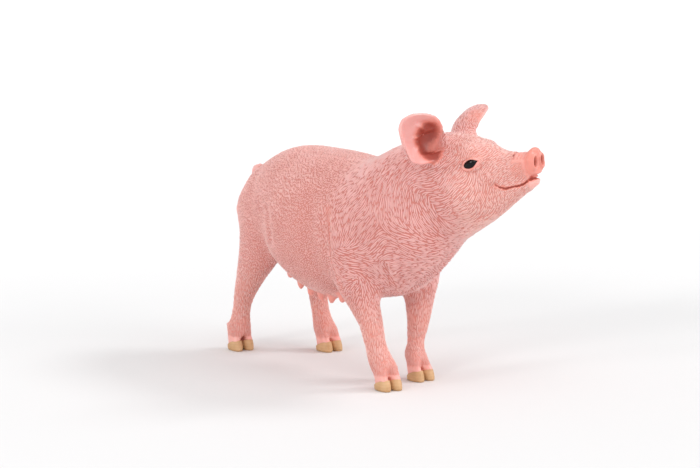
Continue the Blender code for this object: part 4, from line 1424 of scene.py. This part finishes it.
CAMERA_TURN = math.radians(55.6)
CAMERA_RISE = math.radians(9)
CAMERA_DISTANCE = 800.0
CAMERA_TARGET = Vector((-13.2, 2.24, 34.15))
CAMERA_LENS = 155.5

# Each light: the side it comes from, its power, and its breadth in degrees.
LIGHTS = {
    "key": ((0.14, 0.42, 0.42), 0.8, 16),
    "top": ((0.2, -0.15, 0.6), 0.42, 40),
    "front": ((0.8, 0.32, 0.32), 0.9, 45),
    "window_rear": ((-0.06, -0.92, 0.3), 0.4, 10),
    "window_front": ((0.37, -0.84, 0.4), 0.45, 10),
}
SKY_STRENGTH = 0.72
FLOOR_REACH = 6.0


def set_camera():
    data = bpy.data.cameras.new("camera")
    data.lens = CAMERA_LENS
    data.clip_start = 0.01
    camera = new_object("camera", data)
    back = Vector((
        math.sin(CAMERA_TURN) * math.cos(CAMERA_RISE),
        -math.cos(CAMERA_TURN) * math.cos(CAMERA_RISE),
        math.sin(CAMERA_RISE),
    ))
    camera.location = (CAMERA_TARGET + back * CAMERA_DISTANCE) * MM
    camera.rotation_euler = (-back).to_track_quat("-Z", "Y").to_euler()
    bpy.context.scene.camera = camera


def add_light(name, place, power, breadth):
    """An even, distant light from this side; its breadth in degrees softens the shadows."""
    data = bpy.data.lights.new(name, "SUN")
    data.energy = power
    data.angle = math.radians(breadth)
    light = new_object(name, data)
    light.location = place
    light.rotation_euler = Vector(place).to_track_quat("Z", "Y").to_euler()


def set_stage(paint):
    world = bpy.data.worlds.new("studio")
    bpy.context.scene.world = world
    world.use_nodes = True
    sky = {"Color": (1, 1, 1, 1), "Strength": SKY_STRENGTH}
    set_inputs(world.node_tree, world.node_tree.nodes["Background"], sky)
    for name, (place, power, breadth) in LIGHTS.items():
        add_light(name, place, power, breadth)
    floor_mesh = bpy.data.meshes.new("floor")
    bm = bmesh.new()
    bmesh.ops.create_grid(bm, x_segments=1, y_segments=1, size=FLOOR_REACH)
    bm.to_mesh(floor_mesh)
    bm.free()
    floor = new_object("floor", floor_mesh)
    floor_mesh.materials.append(paint)


# --- the toy ---

bpy.context.scene.view_settings.view_transform = "Standard"
set_camera()
grain = grain_group()
set_stage(floor_paper(grain))
skin, surface = make_skin()
surface["red_and_shade"] = red_and_shade_of(surface["points"], surface["normals"], surface["edges"])
surface["darkening"] = hair_darkening(surface["points"])
mark_skin(skin, surface)
vinyl = pink_vinyl(grain)
make_coat(skin, surface, vinyl)
finish_piece(skin, vinyl, FLESH)
eye_paint, hoof_paint = eye_black(grain), hoof_tan(grain)
for name, side in SIDES.items():
    make_eye(name, side, eye_paint)
for foot in FEET:
    for which in ("inner", "outer"):
        make_hoof(foot, which, hoof_paint)
